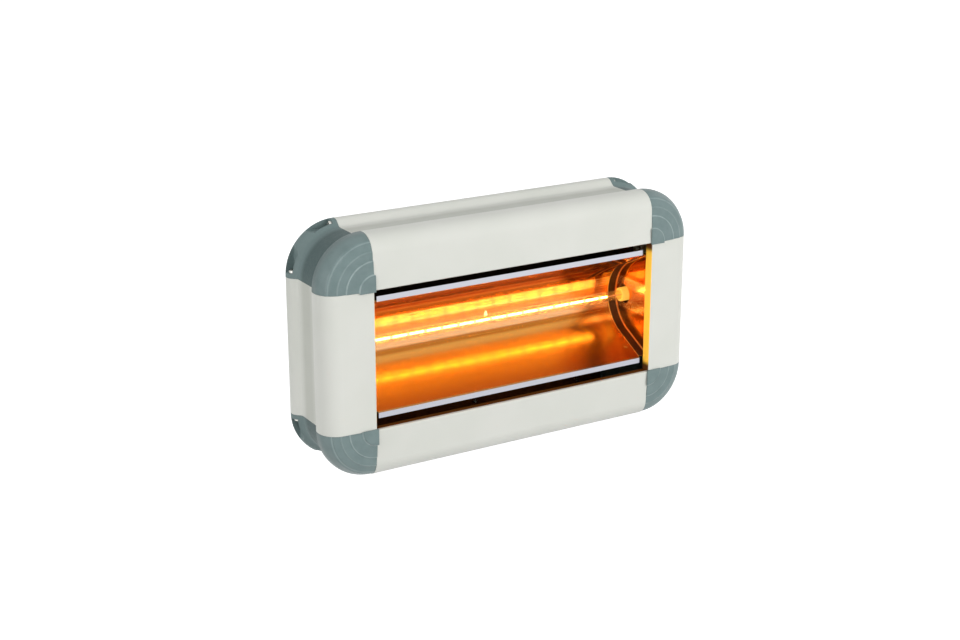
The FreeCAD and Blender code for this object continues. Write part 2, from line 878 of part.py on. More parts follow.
def end_cap(side, sign):
    """The dark cap at one end of the trough: strap, end wall, two feet and the clip's tongue."""
    name = "end_cap_" + side
    low, high = mirrored(sign, TROUGH_END - dims.strap_overlap, CAP_END)
    strap = extrude(name + "_strap", strap_wall, X_AXIS, high - low, (low, ZERO, ZERO))
    low, high = mirrored(sign, CAP_WALL_PLACE, CAP_END)
    wall = extrude(name + "_wall", cap_outline, X_AXIS, high - low, (low, ZERO, ZERO))
    pieces = [strap, wall]
    for way in (-1, 1):
        bottom, top = mirrored(way, dims.foot_offset, FOOT_TOP)
        foot_name = "%s_foot_%s" % (name, "lower" if way < 0 else "upper")
        pieces.append(box(foot_name + "_leg", (low, LAMP_DEPTH, bottom),
                          (high, COVER_INNER_DEPTH, top)))
        inner, outer = mirrored(sign, CAP_END - dims.foot_width, CAP_END)
        sole = COVER_INNER_DEPTH - dims.strap_thickness
        pieces.append(box(foot_name + "_sole", (inner, sole, bottom), (outer, COVER_INNER_DEPTH, top)))
    inner, outer = mirrored(sign, CAP_WALL_PLACE, BASE_END)
    pieces.append(box(name + "_tongue", (inner, TONGUE_FRONT, -dims.tongue_height / 2),
                      (outer, TONGUE_FRONT + dims.tongue_thickness, dims.tongue_height / 2)))
    start = low - dims.cut_overrun
    tools = [cylinder(name + "_lamp_hole", (start, LAMP_DEPTH, ZERO), X_AXIS,
                      dims.lamp_hole_radius, high - low + dims.cut_overrun * 2)]
    for way in (-1, 1):
        tools.append(along_depth(name + "_screw_hole", FOOT_SCREW_ACROSS * sign, FOOT_SCREW_UP * way,
                                 dims.screw_radius + dims.screw_clearance, COVER_INNER_DEPTH))
    tools.extend(rivet_holes(name + "_rivet_hole"))
    finish(name, cut(name + "_shape", fuse(name + "_whole", *pieces), *tools))


def end_mirror(side, sign):
    name = "end_mirror_" + side
    low, high = mirrored(sign, MIRROR_PLACE, CAP_WALL_PLACE)
    plate = extrude(name + "_plate", mirror_outline, X_AXIS, dims.mirror_thickness, (low, ZERO, ZERO))
    hole = cylinder(name + "_hole", (low - dims.cut_overrun, LAMP_DEPTH, ZERO), X_AXIS,
                    dims.lamp_hole_radius, high - low + dims.cut_overrun * 2)
    finish(name, cut(name + "_shape", plate, hole))


for end in SIDES:
    end_cap(*end)
    end_mirror(*end)

turned_group("end_cap_screws", cover_screw, [
    (FOOT_SCREW_ACROSS * sign, dims.frame_depth, FOOT_SCREW_UP * way, TO_FRONT)
    for _, sign in SIDES for way in (-1, 1)
])

# Lamp

TUBE_END = dims.base_start + dims.tube_seat
TUBE_BORE = dims.tube_radius - dims.tube_wall
TUBE_HOLLOW = TUBE_END - dims.tube_seat / 2
tube_profile = turned_profile("tube_profile", [
    (-TUBE_END, ZERO),
    (-TUBE_END, dims.tube_radius),
    (TUBE_END, dims.tube_radius),
    (TUBE_END, ZERO),
    (TUBE_HOLLOW, ZERO),
    (TUBE_HOLLOW, TUBE_BORE),
    (-TUBE_HOLLOW, TUBE_BORE),
    (-TUBE_HOLLOW, ZERO),
])
pip = cone("tube_pip", (-dims.pip_offset, LAMP_DEPTH, dims.tube_radius - dims.tube_wall / 2), Z_AXIS,
           dims.pip_radius, dims.pip_tip_radius, dims.pip_height)
tube = place(revolve("tube_turned", tube_profile), ZERO, LAMP_DEPTH)
finish("lamp_tube", fuse("tube_shape", tube, pip))

FILAMENT_END = dims.filament_length / 2
filament_profile = turned_profile("filament_profile", [
    (-TUBE_HOLLOW, ZERO),
    (-TUBE_HOLLOW, dims.filament_tail_radius),
    (-FILAMENT_END, dims.filament_tail_radius),
    (-FILAMENT_END, dims.filament_radius),
    (FILAMENT_END, dims.filament_radius),
    (FILAMENT_END, dims.filament_tail_radius),
    (TUBE_HOLLOW, dims.filament_tail_radius),
    (TUBE_HOLLOW, ZERO),
])
filament = place(revolve("filament_turned", filament_profile), ZERO, LAMP_DEPTH)
finish("lamp_filament", gather("filament_shape", filament))

support_profile = turned_profile("support_profile", [
    (ZERO, dims.filament_radius + dims.base_clearance),
    (ZERO, dims.support_radius),
    (dims.support_thickness, dims.support_radius),
    (dims.support_thickness, dims.filament_radius + dims.base_clearance),
])
support_count = SIZES["support_count"]
turned_group("lamp_supports", support_profile, [
    (dims.support_pitch * (step - (support_count - 1) / 2), LAMP_DEPTH, ZERO, TO_RIGHT)
    for step in range(support_count)
])

GROOVE_START = dims.base_length - dims.base_groove_inset - dims.base_groove_width / 2
GROOVE_STOP = GROOVE_START + dims.base_groove_width
GROOVE_RADIUS = dims.base_radius - dims.base_groove_depth
base_profile = turned_profile("base_profile", [
    (ZERO, dims.tube_radius + dims.base_clearance),
    (ZERO, dims.base_radius, dims.base_edge),
    (GROOVE_START, dims.base_radius),
    (GROOVE_START, GROOVE_RADIUS),
    (GROOVE_STOP, GROOVE_RADIUS),
    (GROOVE_STOP, dims.base_radius),
    (dims.base_length, dims.base_radius, dims.base_edge),
    (dims.base_length, dims.lead_radius + dims.lead_clearance),
    (dims.base_length - dims.lead_seat, dims.lead_radius + dims.lead_clearance),
    (dims.base_length - dims.lead_seat, ZERO),
    (dims.tube_seat, ZERO),
    (dims.tube_seat, dims.tube_radius + dims.base_clearance),
])
for side, sign in SIDES:
    turned_group("lamp_base_" + side, base_profile,
                 [(dims.base_start * sign, LAMP_DEPTH, ZERO, TO_RIGHT if sign > 0 else TO_LEFT)])

# Lamp clips

CLIP_GRIP = GROOVE_RADIUS + dims.base_clearance
CLIP_BACK = TONGUE_FRONT - dims.clip_thickness


def clip_half(sign):
    """The points of one leg, from its flared mouth to the round of the back."""
    return [
        (LAMP_DEPTH - dims.clip_mouth_reach - dims.clip_flare,
         (dims.clip_mouth_height + dims.clip_flare) * sign),
        (LAMP_DEPTH - dims.clip_mouth_reach, dims.clip_mouth_height * sign),
        (LAMP_DEPTH - dims.clip_shoulder_reach, CLIP_GRIP * sign),
        (CLIP_BACK, CLIP_GRIP * sign, CLIP_GRIP - dims.base_groove_depth),
    ]


clip_face = path("clip_face", clip_half(1) + clip_half(-1)[::-1])
clip_wall = skin("clip_wall", clip_face, -dims.clip_thickness)
CLIP_PLACE = dims.base_start + GROOVE_START + (dims.base_groove_width - dims.clip_width) / 2
for side, sign in SIDES:
    low, high = mirrored(sign, CLIP_PLACE, CLIP_PLACE + dims.clip_width)
    clip = extrude("clip_%s_bar" % side, clip_wall, X_AXIS, dims.clip_width, (low, ZERO, ZERO))
    finish("lamp_clip_" + side, gather("clip_%s_shape" % side, clip))

# Terminal block, leads and earth

TERMINAL_FRONT = COVER_INNER_DEPTH - dims.terminal_thickness
LEAD_DEPTH = COVER_INNER_DEPTH - dims.lead_standoff
TERMINAL_POLES = 3
POLE_MIDDLE_SHARE = 0.5
TERMINAL_SCREW_SHARES = (0.25, 0.75)
TERMINAL_BOTTOM = -dims.terminal_drop - dims.terminal_height


def pole_place(pole):
    """Where a pole of the terminal block is across the heater."""
    return dims.terminal_left + dims.terminal_pitch * (pole + POLE_MIDDLE_SHARE)


def terminal_block():
    """A ceramic block with a sunk bay, two screws and a wire bore in each pole."""
    right = dims.terminal_left + dims.terminal_pitch * TERMINAL_POLES
    block = box("terminal_body", (dims.terminal_left, TERMINAL_FRONT, TERMINAL_BOTTOM),
                (right, COVER_INNER_DEPTH, -dims.terminal_drop))
    half_bay = (dims.terminal_pitch - dims.terminal_barrier) / 2
    tools = []
    for pole in range(TERMINAL_POLES):
        middle = pole_place(pole)
        low = TERMINAL_BOTTOM - dims.cut_overrun
        tools.append(box("terminal_bay", (middle - half_bay, TERMINAL_FRONT - dims.cut_overrun, low),
                         (middle + half_bay, TERMINAL_FRONT + dims.terminal_barrier_sink,
                          -dims.terminal_drop + dims.cut_overrun)))
        tools.append(cylinder("terminal_bore", (middle, LEAD_DEPTH, low), Z_AXIS,
                              dims.lead_radius + dims.lead_clearance,
                              dims.terminal_height + dims.cut_overrun * 2))
    finish("terminal_block", cut("terminal_shape", block, *tools))


terminal_block()
terminal_screw = turned_profile("terminal_screw", [
    (ZERO, ZERO),
    (ZERO, dims.terminal_screw_radius),
    (dims.terminal_screw_height, dims.terminal_screw_radius),
    (dims.terminal_screw_height, ZERO),
])
TERMINAL_SCREW_SEAT = TERMINAL_FRONT + dims.terminal_barrier_sink
turned_group("terminal_screws", terminal_screw, [
    (pole_place(pole), TERMINAL_SCREW_SEAT, -dims.terminal_drop - dims.terminal_height * share, TO_FRONT)
    for pole in range(TERMINAL_POLES) for share in TERMINAL_SCREW_SHARES
])


def round_wire(points, bend):
    """A path of straight runs joined by arcs of one radius."""
    edges = []
    last = points[0]
    for before, here, after in zip(points, points[1:], points[2:]):
        back = (before - here).normalize()
        ahead = (after - here).normalize()
        half = back.getAngle(ahead) / 2
        reach = bend / math.tan(half)
        start, stop = here + back * reach, here + ahead * reach
        middle = (back + ahead).normalize()
        crown = here + middle * (bend / math.sin(half) - bend)
        edges.append(Part.LineSegment(last, start).toShape())
        edges.append(Part.Arc(start, crown, stop).toShape())
        last = stop
    edges.append(Part.LineSegment(last, points[-1]).toShape())
    return Part.Wire(edges)


def lead_shape(route):
    """A round lead along its route, with tangent arcs at the turns."""
    points = [Vector(*(value_of(place) for place in spot)) for spot in route]
    wire = round_wire(points, dims.lead_bend.value)
    ring = Part.Circle(points[0], points[1] - points[0], dims.lead_radius.value)
    return wire.makePipeShell([Part.Wire([ring.toShape()])], True, False)


def lead(label, route):
    item = new("Part::Feature", label + "_shape")
    item.Shape = lead_shape(route)
    finish(label, item)


LEAD_TIP = BASE_END - dims.lead_seat
LEAD_TURN = BASE_END + dims.lead_out
for side, sign, pole, drop in (("left", -1, 0, dims.left_lead_drop), ("right", 1, 2, dims.right_lead_drop)):
    lead("lamp_lead_" + side, [
        (LEAD_TIP * sign, LAMP_DEPTH, ZERO),
        (LEAD_TURN * sign, LAMP_DEPTH, ZERO),
        (LEAD_TURN * sign, LEAD_DEPTH, -drop),
        (pole_place(pole), LEAD_DEPTH, -drop),
        (pole_place(pole), LEAD_DEPTH, -dims.terminal_drop - dims.terminal_seat),
    ])

EARTH_ACROSS = pole_place(1)
EARTH_DEPTH = COVER_INNER_DEPTH - dims.earth_tag_thickness
earth_tag = cut(
    "earth_tag",
    cylinder("earth_tag_disc", (EARTH_ACROSS, EARTH_DEPTH, -dims.earth_drop), Y_AXIS,
             dims.earth_tag_radius, dims.earth_tag_thickness),
    along_depth("earth_tag_hole", EARTH_ACROSS, -dims.earth_drop,
                dims.screw_radius + dims.screw_clearance, EARTH_DEPTH),
)
EARTH_WIRE_END = dims.terminal_drop + dims.terminal_seat
EARTH_NECK_DROP = dims.earth_drop + dims.earth_tag_radius
earth_wire = cylinder("earth_wire", (EARTH_ACROSS, LEAD_DEPTH, -EARTH_WIRE_END), Z_AXIS,
                      dims.lead_radius, EARTH_WIRE_END - dims.earth_drop)
earth_neck = box(
    "earth_neck",
    (EARTH_ACROSS - dims.lead_radius, LEAD_DEPTH, -EARTH_NECK_DROP - dims.earth_tag_thickness),
    (EARTH_ACROSS + dims.lead_radius, COVER_INNER_DEPTH, dims.earth_tag_thickness - EARTH_NECK_DROP),
)
finish("earth_lead", fuse("earth_lead_shape", earth_wire, earth_neck, earth_tag))
turned_group("earth_screw", cover_screw, [(EARTH_ACROSS, EARTH_DEPTH, -dims.earth_drop, TO_BACK)])

# Rear cover and gasket


def rounded_plate(name, reach, thickness, depth):
    """A plate round the opening whose corners follow the corner castings."""
    edge = outline(name + "_edge", [
        (HALF_WIDTH + reach, HALF_HEIGHT + reach, reach),
        (-HALF_WIDTH - reach, HALF_HEIGHT + reach, reach),
        (-HALF_WIDTH - reach, -HALF_HEIGHT - reach, reach),
        (HALF_WIDTH + reach, -HALF_HEIGHT - reach, reach),
    ], FRONT)
    return extrude(name, edge, Y_AXIS, thickness, (ZERO, depth, ZERO))


def gasket():
    """A flat silicone frame between the flange and the cover."""
    outer = rounded_plate("gasket_outer", RIM - dims.cover_clearance, dims.gasket_thickness, FLANGE_DEPTH)
    window = rounded_plate("gasket_window", FLANGE_END + dims.gasket_clearance,
                           dims.gasket_thickness + dims.cut_overrun * 2, FLANGE_DEPTH - dims.cut_overrun)
    loose = dims.screw_radius + dims.corner_hole_clearance
    holes = [along_depth("gasket_hole", x, z, loose, FLANGE_DEPTH) for x, z, _ in cover_screw_spots()]
    finish("rear_gasket", cut("gasket_shape", outer, window, *holes))


def bracket_screw_places():
    return [(dims.bracket_screw_across / 2 * across, dims.bracket_screw_up / 2 * up)
            for across in (-1, 1) for up in (-1, 1)]


def rear_cover():
    """A flat sheet with the holes of its screws, the feet, the earth, the gland and the bracket."""
    plate = rounded_plate("cover_plate", RIM - dims.cover_clearance, dims.cover_thickness,
                          COVER_INNER_DEPTH)
    snug = dims.screw_radius + dims.screw_clearance
    spots = [(x, z) for x, z, _ in cover_screw_spots()]
    spots += [(FOOT_SCREW_ACROSS * sign, FOOT_SCREW_UP * way) for _, sign in SIDES for way in (-1, 1)]
    spots.append((EARTH_ACROSS, -dims.earth_drop))
    holes = [along_depth("cover_hole", x, z, snug, COVER_INNER_DEPTH) for x, z in spots]
    for x, z in bracket_screw_places():
        holes.append(along_depth("cover_bracket_hole", x, z,
                                 dims.bracket_screw_radius + dims.screw_clearance, COVER_INNER_DEPTH))
    holes.append(along_depth("cover_gland_hole", dims.gland_across, -dims.gland_drop,
                             dims.gland_stem_radius + dims.gland_clearance, COVER_INNER_DEPTH))
    finish("rear_cover", cut("cover_shape", plate, *holes))


gasket()
rear_cover()

# Cable gland


def gland_round(label, points, extra=()):
    """A round gland piece on its axis, from the cover's outer face towards the wall."""
    turned = revolve(label + "_turned", turned_profile(label + "_profile", points))
    place(turned, dims.gland_across, dims.frame_depth, -dims.gland_drop, TO_BACK)
    return fuse(label + "_whole", turned, *extra) if extra else gather(label + "_whole", turned)


GLAND_SPOT = (dims.gland_across, dims.frame_depth, -dims.gland_drop)
NECK_TIP = dims.gland_hex_height + dims.gland_neck_length
CAP_BACK = dims.gland_hex_height + dims.gland_cap_height
GLAND_FRONT = dims.frame_depth - dims.gland_stem_length
finish("gland_body", cut(
    "gland_body_shape",
    gland_round("gland_stem", [
        (-dims.gland_stem_length, ZERO),
        (-dims.gland_stem_length, dims.gland_stem_radius),
        (dims.gland_hex_height, dims.gland_stem_radius),
        (dims.gland_hex_height, dims.gland_neck_radius),
        (NECK_TIP, dims.gland_neck_radius),
        (NECK_TIP, ZERO),
    ], [hexagon("gland_hex", GLAND_SPOT, Y_AXIS, dims.gland_flats, dims.gland_hex_height)]),
    cylinder("gland_bore", (dims.gland_across, GLAND_FRONT - dims.cut_overrun, -dims.gland_drop), Y_AXIS,
             dims.gland_bore_radius, dims.gland_stem_length + NECK_TIP + dims.cut_overrun * 2),
))
LOCKNUT_DEPTH = COVER_INNER_DEPTH - dims.gland_nut_height
finish("gland_locknut", cut(
    "gland_locknut_shape",
    hexagon("gland_locknut_hex", (dims.gland_across, LOCKNUT_DEPTH, -dims.gland_drop), Y_AXIS,
            dims.gland_flats, dims.gland_nut_height),
    cylinder("gland_locknut_bore",
             (dims.gland_across, LOCKNUT_DEPTH - dims.cut_overrun, -dims.gland_drop), Y_AXIS,
             dims.gland_stem_radius + dims.gland_clearance,
             dims.gland_nut_height + dims.cut_overrun * 2),
))
CAP_RADIUS = dims.gland_flats / 2
CAP_BORE = dims.gland_neck_radius + dims.gland_clearance
finish("gland_cap", gland_round("gland_cap", [
    (dims.gland_hex_height, CAP_BORE),
    (dims.gland_hex_height, CAP_RADIUS),
    (CAP_BACK, CAP_RADIUS, dims.gland_cap_round),
    (CAP_BACK, dims.gland_cap_mouth_radius),
    (NECK_TIP, dims.gland_cap_mouth_radius),
    (NECK_TIP, CAP_BORE),
]))
SEAL_RADIUS = dims.gland_bore_radius - dims.gland_clearance
finish("gland_seal", gland_round("gland_seal", [
    (dims.gland_hex_height, dims.cable_radius),
    (dims.gland_hex_height, SEAL_RADIUS),
    (CAP_BACK, SEAL_RADIUS),
    (CAP_BACK, dims.cable_radius),
]))

# Tilting bracket

TILT_EAR_FACE = dims.tilt_bracket_width / 2
WALL_EAR_INSIDE = TILT_EAR_FACE + dims.ear_gap
WALL_EAR_FACE = WALL_EAR_INSIDE + dims.bracket_sheet
EAR_TIP = PIVOT_DEPTH + dims.ear_half_height
WALL_EAR_TIP = PIVOT_DEPTH - dims.ear_half_height
LOCK_HOLE = dims.lock_radius + dims.screw_clearance


def folded_strip(name, half_width, bottom, tip, height, thickness):
    """A strip folded to a U: a base and two ears that reach from it to the tip."""
    face = path(name + "_face", [
        (-half_width, tip),
        (-half_width, bottom, dims.bracket_bend),
        (half_width, bottom, dims.bracket_bend),
        (half_width, tip),
    ], PLAN)
    return extrude(name + "_strip", skin(name + "_wall", face, thickness), Z_AXIS, height)


def across_hole(name, depth, up, radius, half_width):
    """A hole through both ears."""
    reach = half_width + dims.cut_overrun
    return cylinder(name, (-reach, depth, up), X_AXIS, radius, reach * 2)


def tilt_bracket():
    strip = folded_strip("tilt_bracket", TILT_EAR_FACE, dims.frame_depth, EAR_TIP,
                         dims.ear_half_height * 2, -dims.bracket_sheet)
    side = extrude("tilt_bracket_side", outline("tilt_bracket_outline", [
        (dims.frame_depth, dims.ear_half_height),
        (EAR_TIP, dims.ear_half_height, dims.ear_end_radius),
        (EAR_TIP, -dims.ear_half_height, dims.ear_end_radius),
        (dims.frame_depth, -dims.ear_half_height),
    ]), X_AXIS, dims.tilt_bracket_width)
    tools = [
        across_hole("tilt_pivot_hole", PIVOT_DEPTH, ZERO,
                    dims.pivot_radius + dims.pivot_clearance, TILT_EAR_FACE),
        across_hole("tilt_lock_hole", PIVOT_DEPTH, dims.lock_orbit, LOCK_HOLE, TILT_EAR_FACE),
    ]
    for x, z in bracket_screw_places():
        tools.append(along_depth("tilt_screw_hole", x, z,
                                 dims.bracket_screw_radius + dims.screw_clearance, dims.frame_depth))
    finish("tilt_bracket", cut("tilt_bracket_shape", common("tilt_bracket_blank", strip, side), *tools))


def lock_slot():
    """The curved slot in both wall ears that the lock screws run along as the heater tilts."""
    reach = WALL_EAR_FACE + dims.cut_overrun
    half = dims.lock_radius + dims.lock_slot_clearance
    # A cylinder along +X whose part-circle starts upwards and runs on towards the front
    turn = Rotation(X_AXIS + Z_AXIS, QUARTER * 2)
    band = []
    for name, radius in (("outer", dims.lock_orbit + half), ("inner", dims.lock_orbit - half)):
        item = new("Part::Cylinder", "lock_slot_" + name)
        bind(item, Radius=radius, Height=reach * 2, Angle=dims.tilt_range)
        band.append(place(item, -reach, PIVOT_DEPTH, ZERO, turn))
    ends = []
    for angle in (ZERO, dims.tilt_range):
        swing = math.radians(value_of(angle))
        formula = formula_of(angle)
        back = Size(math.sin(swing), "sin(%s)" % formula)
        up = Size(math.cos(swing), "cos(%s)" % formula)
        ends.append(across_hole("lock_slot_end", PIVOT_DEPTH - dims.lock_orbit * back, dims.lock_orbit * up,
                                half, WALL_EAR_FACE))
    return [cut("lock_slot_band", *band)] + ends


def wall_bracket():
    strip = folded_strip("wall_bracket", WALL_EAR_FACE, WALL_DEPTH, WALL_EAR_TIP,
                         dims.wall_plate_half_height * 2, dims.bracket_sheet)
    waist = PIVOT_DEPTH + dims.wall_ear_waist
    shoulder = WALL_DEPTH - dims.wall_plate_shoulder

    def half(sign):
        return [
            (WALL_DEPTH, dims.wall_plate_half_height * sign),
            (shoulder, dims.wall_plate_half_height * sign, dims.wall_ear_round),
            (waist, dims.ear_half_height * sign, dims.wall_ear_round),
            (WALL_EAR_TIP, dims.ear_half_height * sign, dims.ear_end_radius),
        ]

    edge = outline("wall_bracket_outline", half(1) + half(-1)[::-1])
    side = extrude("wall_bracket_side", edge, X_AXIS, WALL_EAR_FACE * 2)
    tools = lock_slot()
    tools.append(across_hole("wall_pivot_hole", PIVOT_DEPTH, ZERO, dims.pivot_radius + dims.pivot_clearance,
                             WALL_EAR_FACE))
    for across in (-1, 1):
        for up in (-1, 1):
            tools.append(along_depth("wall_hole", dims.wall_hole_spacing_across / 2 * across,
                                     dims.wall_hole_spacing_up / 2 * up, dims.wall_hole_radius, WALL_DEPTH))
    finish("wall_bracket", cut("wall_bracket_shape", common("wall_bracket_blank", strip, side), *tools))


tilt_bracket()
wall_bracket()


def ear_bolts(label, depth, up, radius, flats, head_height, tail, head_face):
    """A hexagon-head bolt through the two ears on each side, its head outside."""
    inside = TILT_EAR_FACE - dims.bracket_sheet - tail
    bolts = []
    for side, sign in SIDES:
        axis = X_AXIS * sign
        shank = cylinder("%s_shank_%s" % (label, side), (inside * sign, depth, up), axis, radius,
                         head_face - inside + dims.screw_clearance)
        head = hexagon("%s_head_%s" % (label, side), (head_face * sign, depth, up), axis,
                       flats, head_height)
        bolts.append(fuse("%s_%s" % (label, side), shank, head))
    finish(label, gather(label + "_group", *bolts))


def ear_nuts(label, depth, up, radius, flats, height):
    """Hexagon nuts on the inner faces of the tilt bracket's ears."""
    outer = TILT_EAR_FACE - dims.bracket_sheet - dims.running_gap
    nuts = []
    for side, sign in SIDES:
        axis = X_AXIS * -sign
        blank = hexagon("%s_hex_%s" % (label, side), (outer * sign, depth, up), axis, flats, height)
        bore = cylinder("%s_bore_%s" % (label, side), ((outer + dims.cut_overrun) * sign, depth, up), axis,
                        radius + dims.screw_clearance, height + dims.cut_overrun * 2)
        nuts.append(cut("%s_%s" % (label, side), blank, bore))
    finish(label, gather(label + "_group", *nuts))


ear_bolts("pivot_bolts", PIVOT_DEPTH, ZERO, dims.pivot_radius, dims.pivot_head_flats,
          dims.pivot_head_height, dims.pivot_nut_height + dims.pivot_bolt_tail, WALL_EAR_FACE)
ear_nuts("pivot_nuts", PIVOT_DEPTH, ZERO, dims.pivot_radius, dims.pivot_head_flats,
         dims.pivot_nut_height)
ear_bolts("lock_screws", PIVOT_DEPTH, dims.lock_orbit, dims.lock_radius, dims.lock_head_flats,
          dims.lock_head_height, dims.lock_nut_height + dims.pivot_bolt_tail,
          WALL_EAR_FACE + dims.running_gap)
ear_nuts("lock_nuts", PIVOT_DEPTH, dims.lock_orbit, dims.lock_radius, dims.lock_head_flats,
         dims.lock_nut_height)

washer_profile = turned_profile("washer_profile", [
    (dims.running_gap, dims.pivot_radius + dims.pivot_clearance),
    (dims.running_gap, dims.pivot_washer_radius),
    (dims.ear_gap, dims.pivot_washer_radius),
    (dims.ear_gap, dims.pivot_radius + dims.pivot_clearance),
])
turned_group("pivot_washers", washer_profile, [
    (TILT_EAR_FACE * sign, PIVOT_DEPTH, ZERO, TO_RIGHT if sign > 0 else TO_LEFT) for _, sign in SIDES
])

BRACKET_SCREW_SEAT = dims.frame_depth + dims.bracket_sheet
bracket_screw = screw_profile(
    "bracket_screw", dims.bracket_screw_radius,
    dims.bracket_sheet + dims.cover_thickness + dims.bracket_nut_height,
    dims.bracket_screw_head_radius, dims.bracket_screw_head_height, dims.screw_head_round)
turned_group("tilt_bracket_screws", bracket_screw,
             [(x, BRACKET_SCREW_SEAT, z, TO_FRONT) for x, z in bracket_screw_places()])
bracket_nuts = []
for x, z in bracket_screw_places():
    seat = COVER_INNER_DEPTH - dims.bracket_nut_height
    blank = hexagon("bracket_nut_hex", (x, seat, z), Y_AXIS,
                    dims.bracket_nut_flats, dims.bracket_nut_height)
    bore = cylinder("bracket_nut_bore", (x, seat - dims.cut_overrun, z), Y_AXIS,
                    dims.bracket_screw_radius + dims.screw_clearance,
                    dims.bracket_nut_height + dims.cut_overrun * 2)
    bracket_nuts.append(cut("bracket_nut", blank, bore))
finish("tilt_bracket_nuts", gather("bracket_nut_group", *bracket_nuts))

# Build, test and write

doc.recompute()
faults = [item.Name for item in doc.Objects if "Invalid" in item.State or "Error" in item.State]
for item in nodes:
    if item.Shape.isNull() or not item.Shape.isValid() or not item.Shape.Solids:
        faults.append(item.Label)
if faults:
    raise RuntimeError("failed pieces: " + ", ".join(faults))

os.makedirs("parts", exist_ok=True)
for item in nodes:
    item.Shape.exportStep("parts/%s.step" % item.Label)
    print(item.Label, len(item.Shape.Solids), "solids", round(item.Shape.Volume), "cubic mm")
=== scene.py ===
# %% [markdown]
# A wall-mounted radiant heater, lit. Its hard parts come from the CAD model: the frame of four
# extrusions, the cast corners, the polished trough and the tilting bracket. This lesson dresses
# that frame: a camera that stands where the photographer stood, a pale studio, one finish for
# each material, and the few pieces that are too fine for the CAD model, such as the coiled
# filament.

# %% Load the frame
import math

import bmesh
import bpy
from mathutils import Matrix, Vector


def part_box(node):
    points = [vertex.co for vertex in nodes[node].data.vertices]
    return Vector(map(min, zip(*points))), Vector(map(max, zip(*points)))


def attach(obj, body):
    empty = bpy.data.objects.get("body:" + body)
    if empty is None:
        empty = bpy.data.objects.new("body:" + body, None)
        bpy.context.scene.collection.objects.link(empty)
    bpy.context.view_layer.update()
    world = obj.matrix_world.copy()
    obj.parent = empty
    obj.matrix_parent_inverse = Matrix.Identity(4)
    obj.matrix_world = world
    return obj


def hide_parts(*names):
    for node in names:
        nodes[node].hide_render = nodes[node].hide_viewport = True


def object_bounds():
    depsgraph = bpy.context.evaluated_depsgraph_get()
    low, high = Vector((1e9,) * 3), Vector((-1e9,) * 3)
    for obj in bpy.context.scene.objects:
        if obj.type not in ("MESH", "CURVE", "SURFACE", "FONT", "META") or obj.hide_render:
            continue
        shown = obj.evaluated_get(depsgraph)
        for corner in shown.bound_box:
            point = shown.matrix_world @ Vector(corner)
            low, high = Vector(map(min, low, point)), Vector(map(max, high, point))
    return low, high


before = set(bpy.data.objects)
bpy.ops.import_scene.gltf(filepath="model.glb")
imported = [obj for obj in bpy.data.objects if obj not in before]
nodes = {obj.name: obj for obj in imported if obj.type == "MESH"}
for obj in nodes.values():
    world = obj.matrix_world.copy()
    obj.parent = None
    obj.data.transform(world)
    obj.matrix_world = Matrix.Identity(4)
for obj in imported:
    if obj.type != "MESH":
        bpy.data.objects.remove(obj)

cad_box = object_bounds()
scene = bpy.context.scene
MM = 0.001

# %% [markdown]
# The camera stands to the left of the heater and above it, and looks down on it through a long
# lens. It could be placed by eye, but a fit is closer: a plain pinhole camera was fitted to the
# seams between the corners and the profiles, so the picture needs no shift.

# %% Camera
VIEW_YAW, VIEW_PITCH = math.radians(30.956), math.radians(18.265)
VIEW_TARGET = Vector((-0.01946, -0.155, 0.00503))
VIEW_DISTANCE = 1.7305
FOCAL_PIXELS, IMAGE_WIDTH, SENSOR = 1689.7, 960, 36

ahead = Vector((
    math.sin(VIEW_YAW) * math.cos(VIEW_PITCH),
    math.cos(VIEW_YAW) * math.cos(VIEW_PITCH),
    -math.sin(VIEW_PITCH),
))
bpy.ops.object.camera_add(location=VIEW_TARGET - ahead * VIEW_DISTANCE)
camera = bpy.context.object
camera.name = "photo_camera"
camera.rotation_euler = ahead.to_track_quat("-Z", "Y").to_euler()
camera.data.sensor_width = SENSOR
camera.data.lens = FOCAL_PIXELS * SENSOR / IMAGE_WIDTH
scene.camera = camera
print("camera at", tuple(round(c, 3) for c in camera.location), "lens", round(camera.data.lens, 1))

# %% [markdown]
# Much of a finish depends on where a point is on the frame: how deep it is behind the front, and
# how far it is outside the opening. Painted masks could say that too, but measures need no
# pictures and follow the heater when it tilts. The planes come from the CAD model. The opening,
# 326 by 142 mm, lies round the middle, so its halves are enough.

# %% Places on the frame
FRONT_PLANE, REAR_PLANE = (corner.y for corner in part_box("top_profile"))
OPENING_HALF = {"X": 163 * MM, "Z": 71 * MM}
print("frame from", round(FRONT_PLANE, 4), "to", round(REAR_PLANE, 4))

# %% [markdown]
# Finishes are node trees. To keep them readable, a strand wraps one socket of a tree, and plain
# arithmetic on strands adds the Math nodes.

# %% Strands
class Strand:
    """One output socket of a tree, with arithmetic on its value."""

    def __init__(self, tree, socket):
        self.tree = tree
        self.socket = socket

    def math(self, operation, *values):
        return self.tree.node("ShaderNodeMath", {"operation": operation}, dict(enumerate(values)))

    def __add__(self, other):
        return self.math("ADD", self, other)

    def __sub__(self, other):
        return self.math("SUBTRACT", self, other)

    def __rsub__(self, other):
        return self.math("SUBTRACT", other, self)

    def __mul__(self, other):
        return self.math("MULTIPLY", self, other)

    def __pow__(self, other):
        return self.math("POWER", self, other)

    def __abs__(self):
        return self.math("ABSOLUTE", self)

    def at_least(self, other):
        return self.math("MAXIMUM", self, other)

    def at_most(self, other):
        return self.math("MINIMUM", self, other)


print("strand:", Strand.__doc__)

# %% [markdown]
# Every other node comes from one method of the tree: it takes the kind of node, its settings,
# which are set first, and what goes into its sockets. A finish is the tree of one material, with
# a short method for each thing that the finishes below have in common.

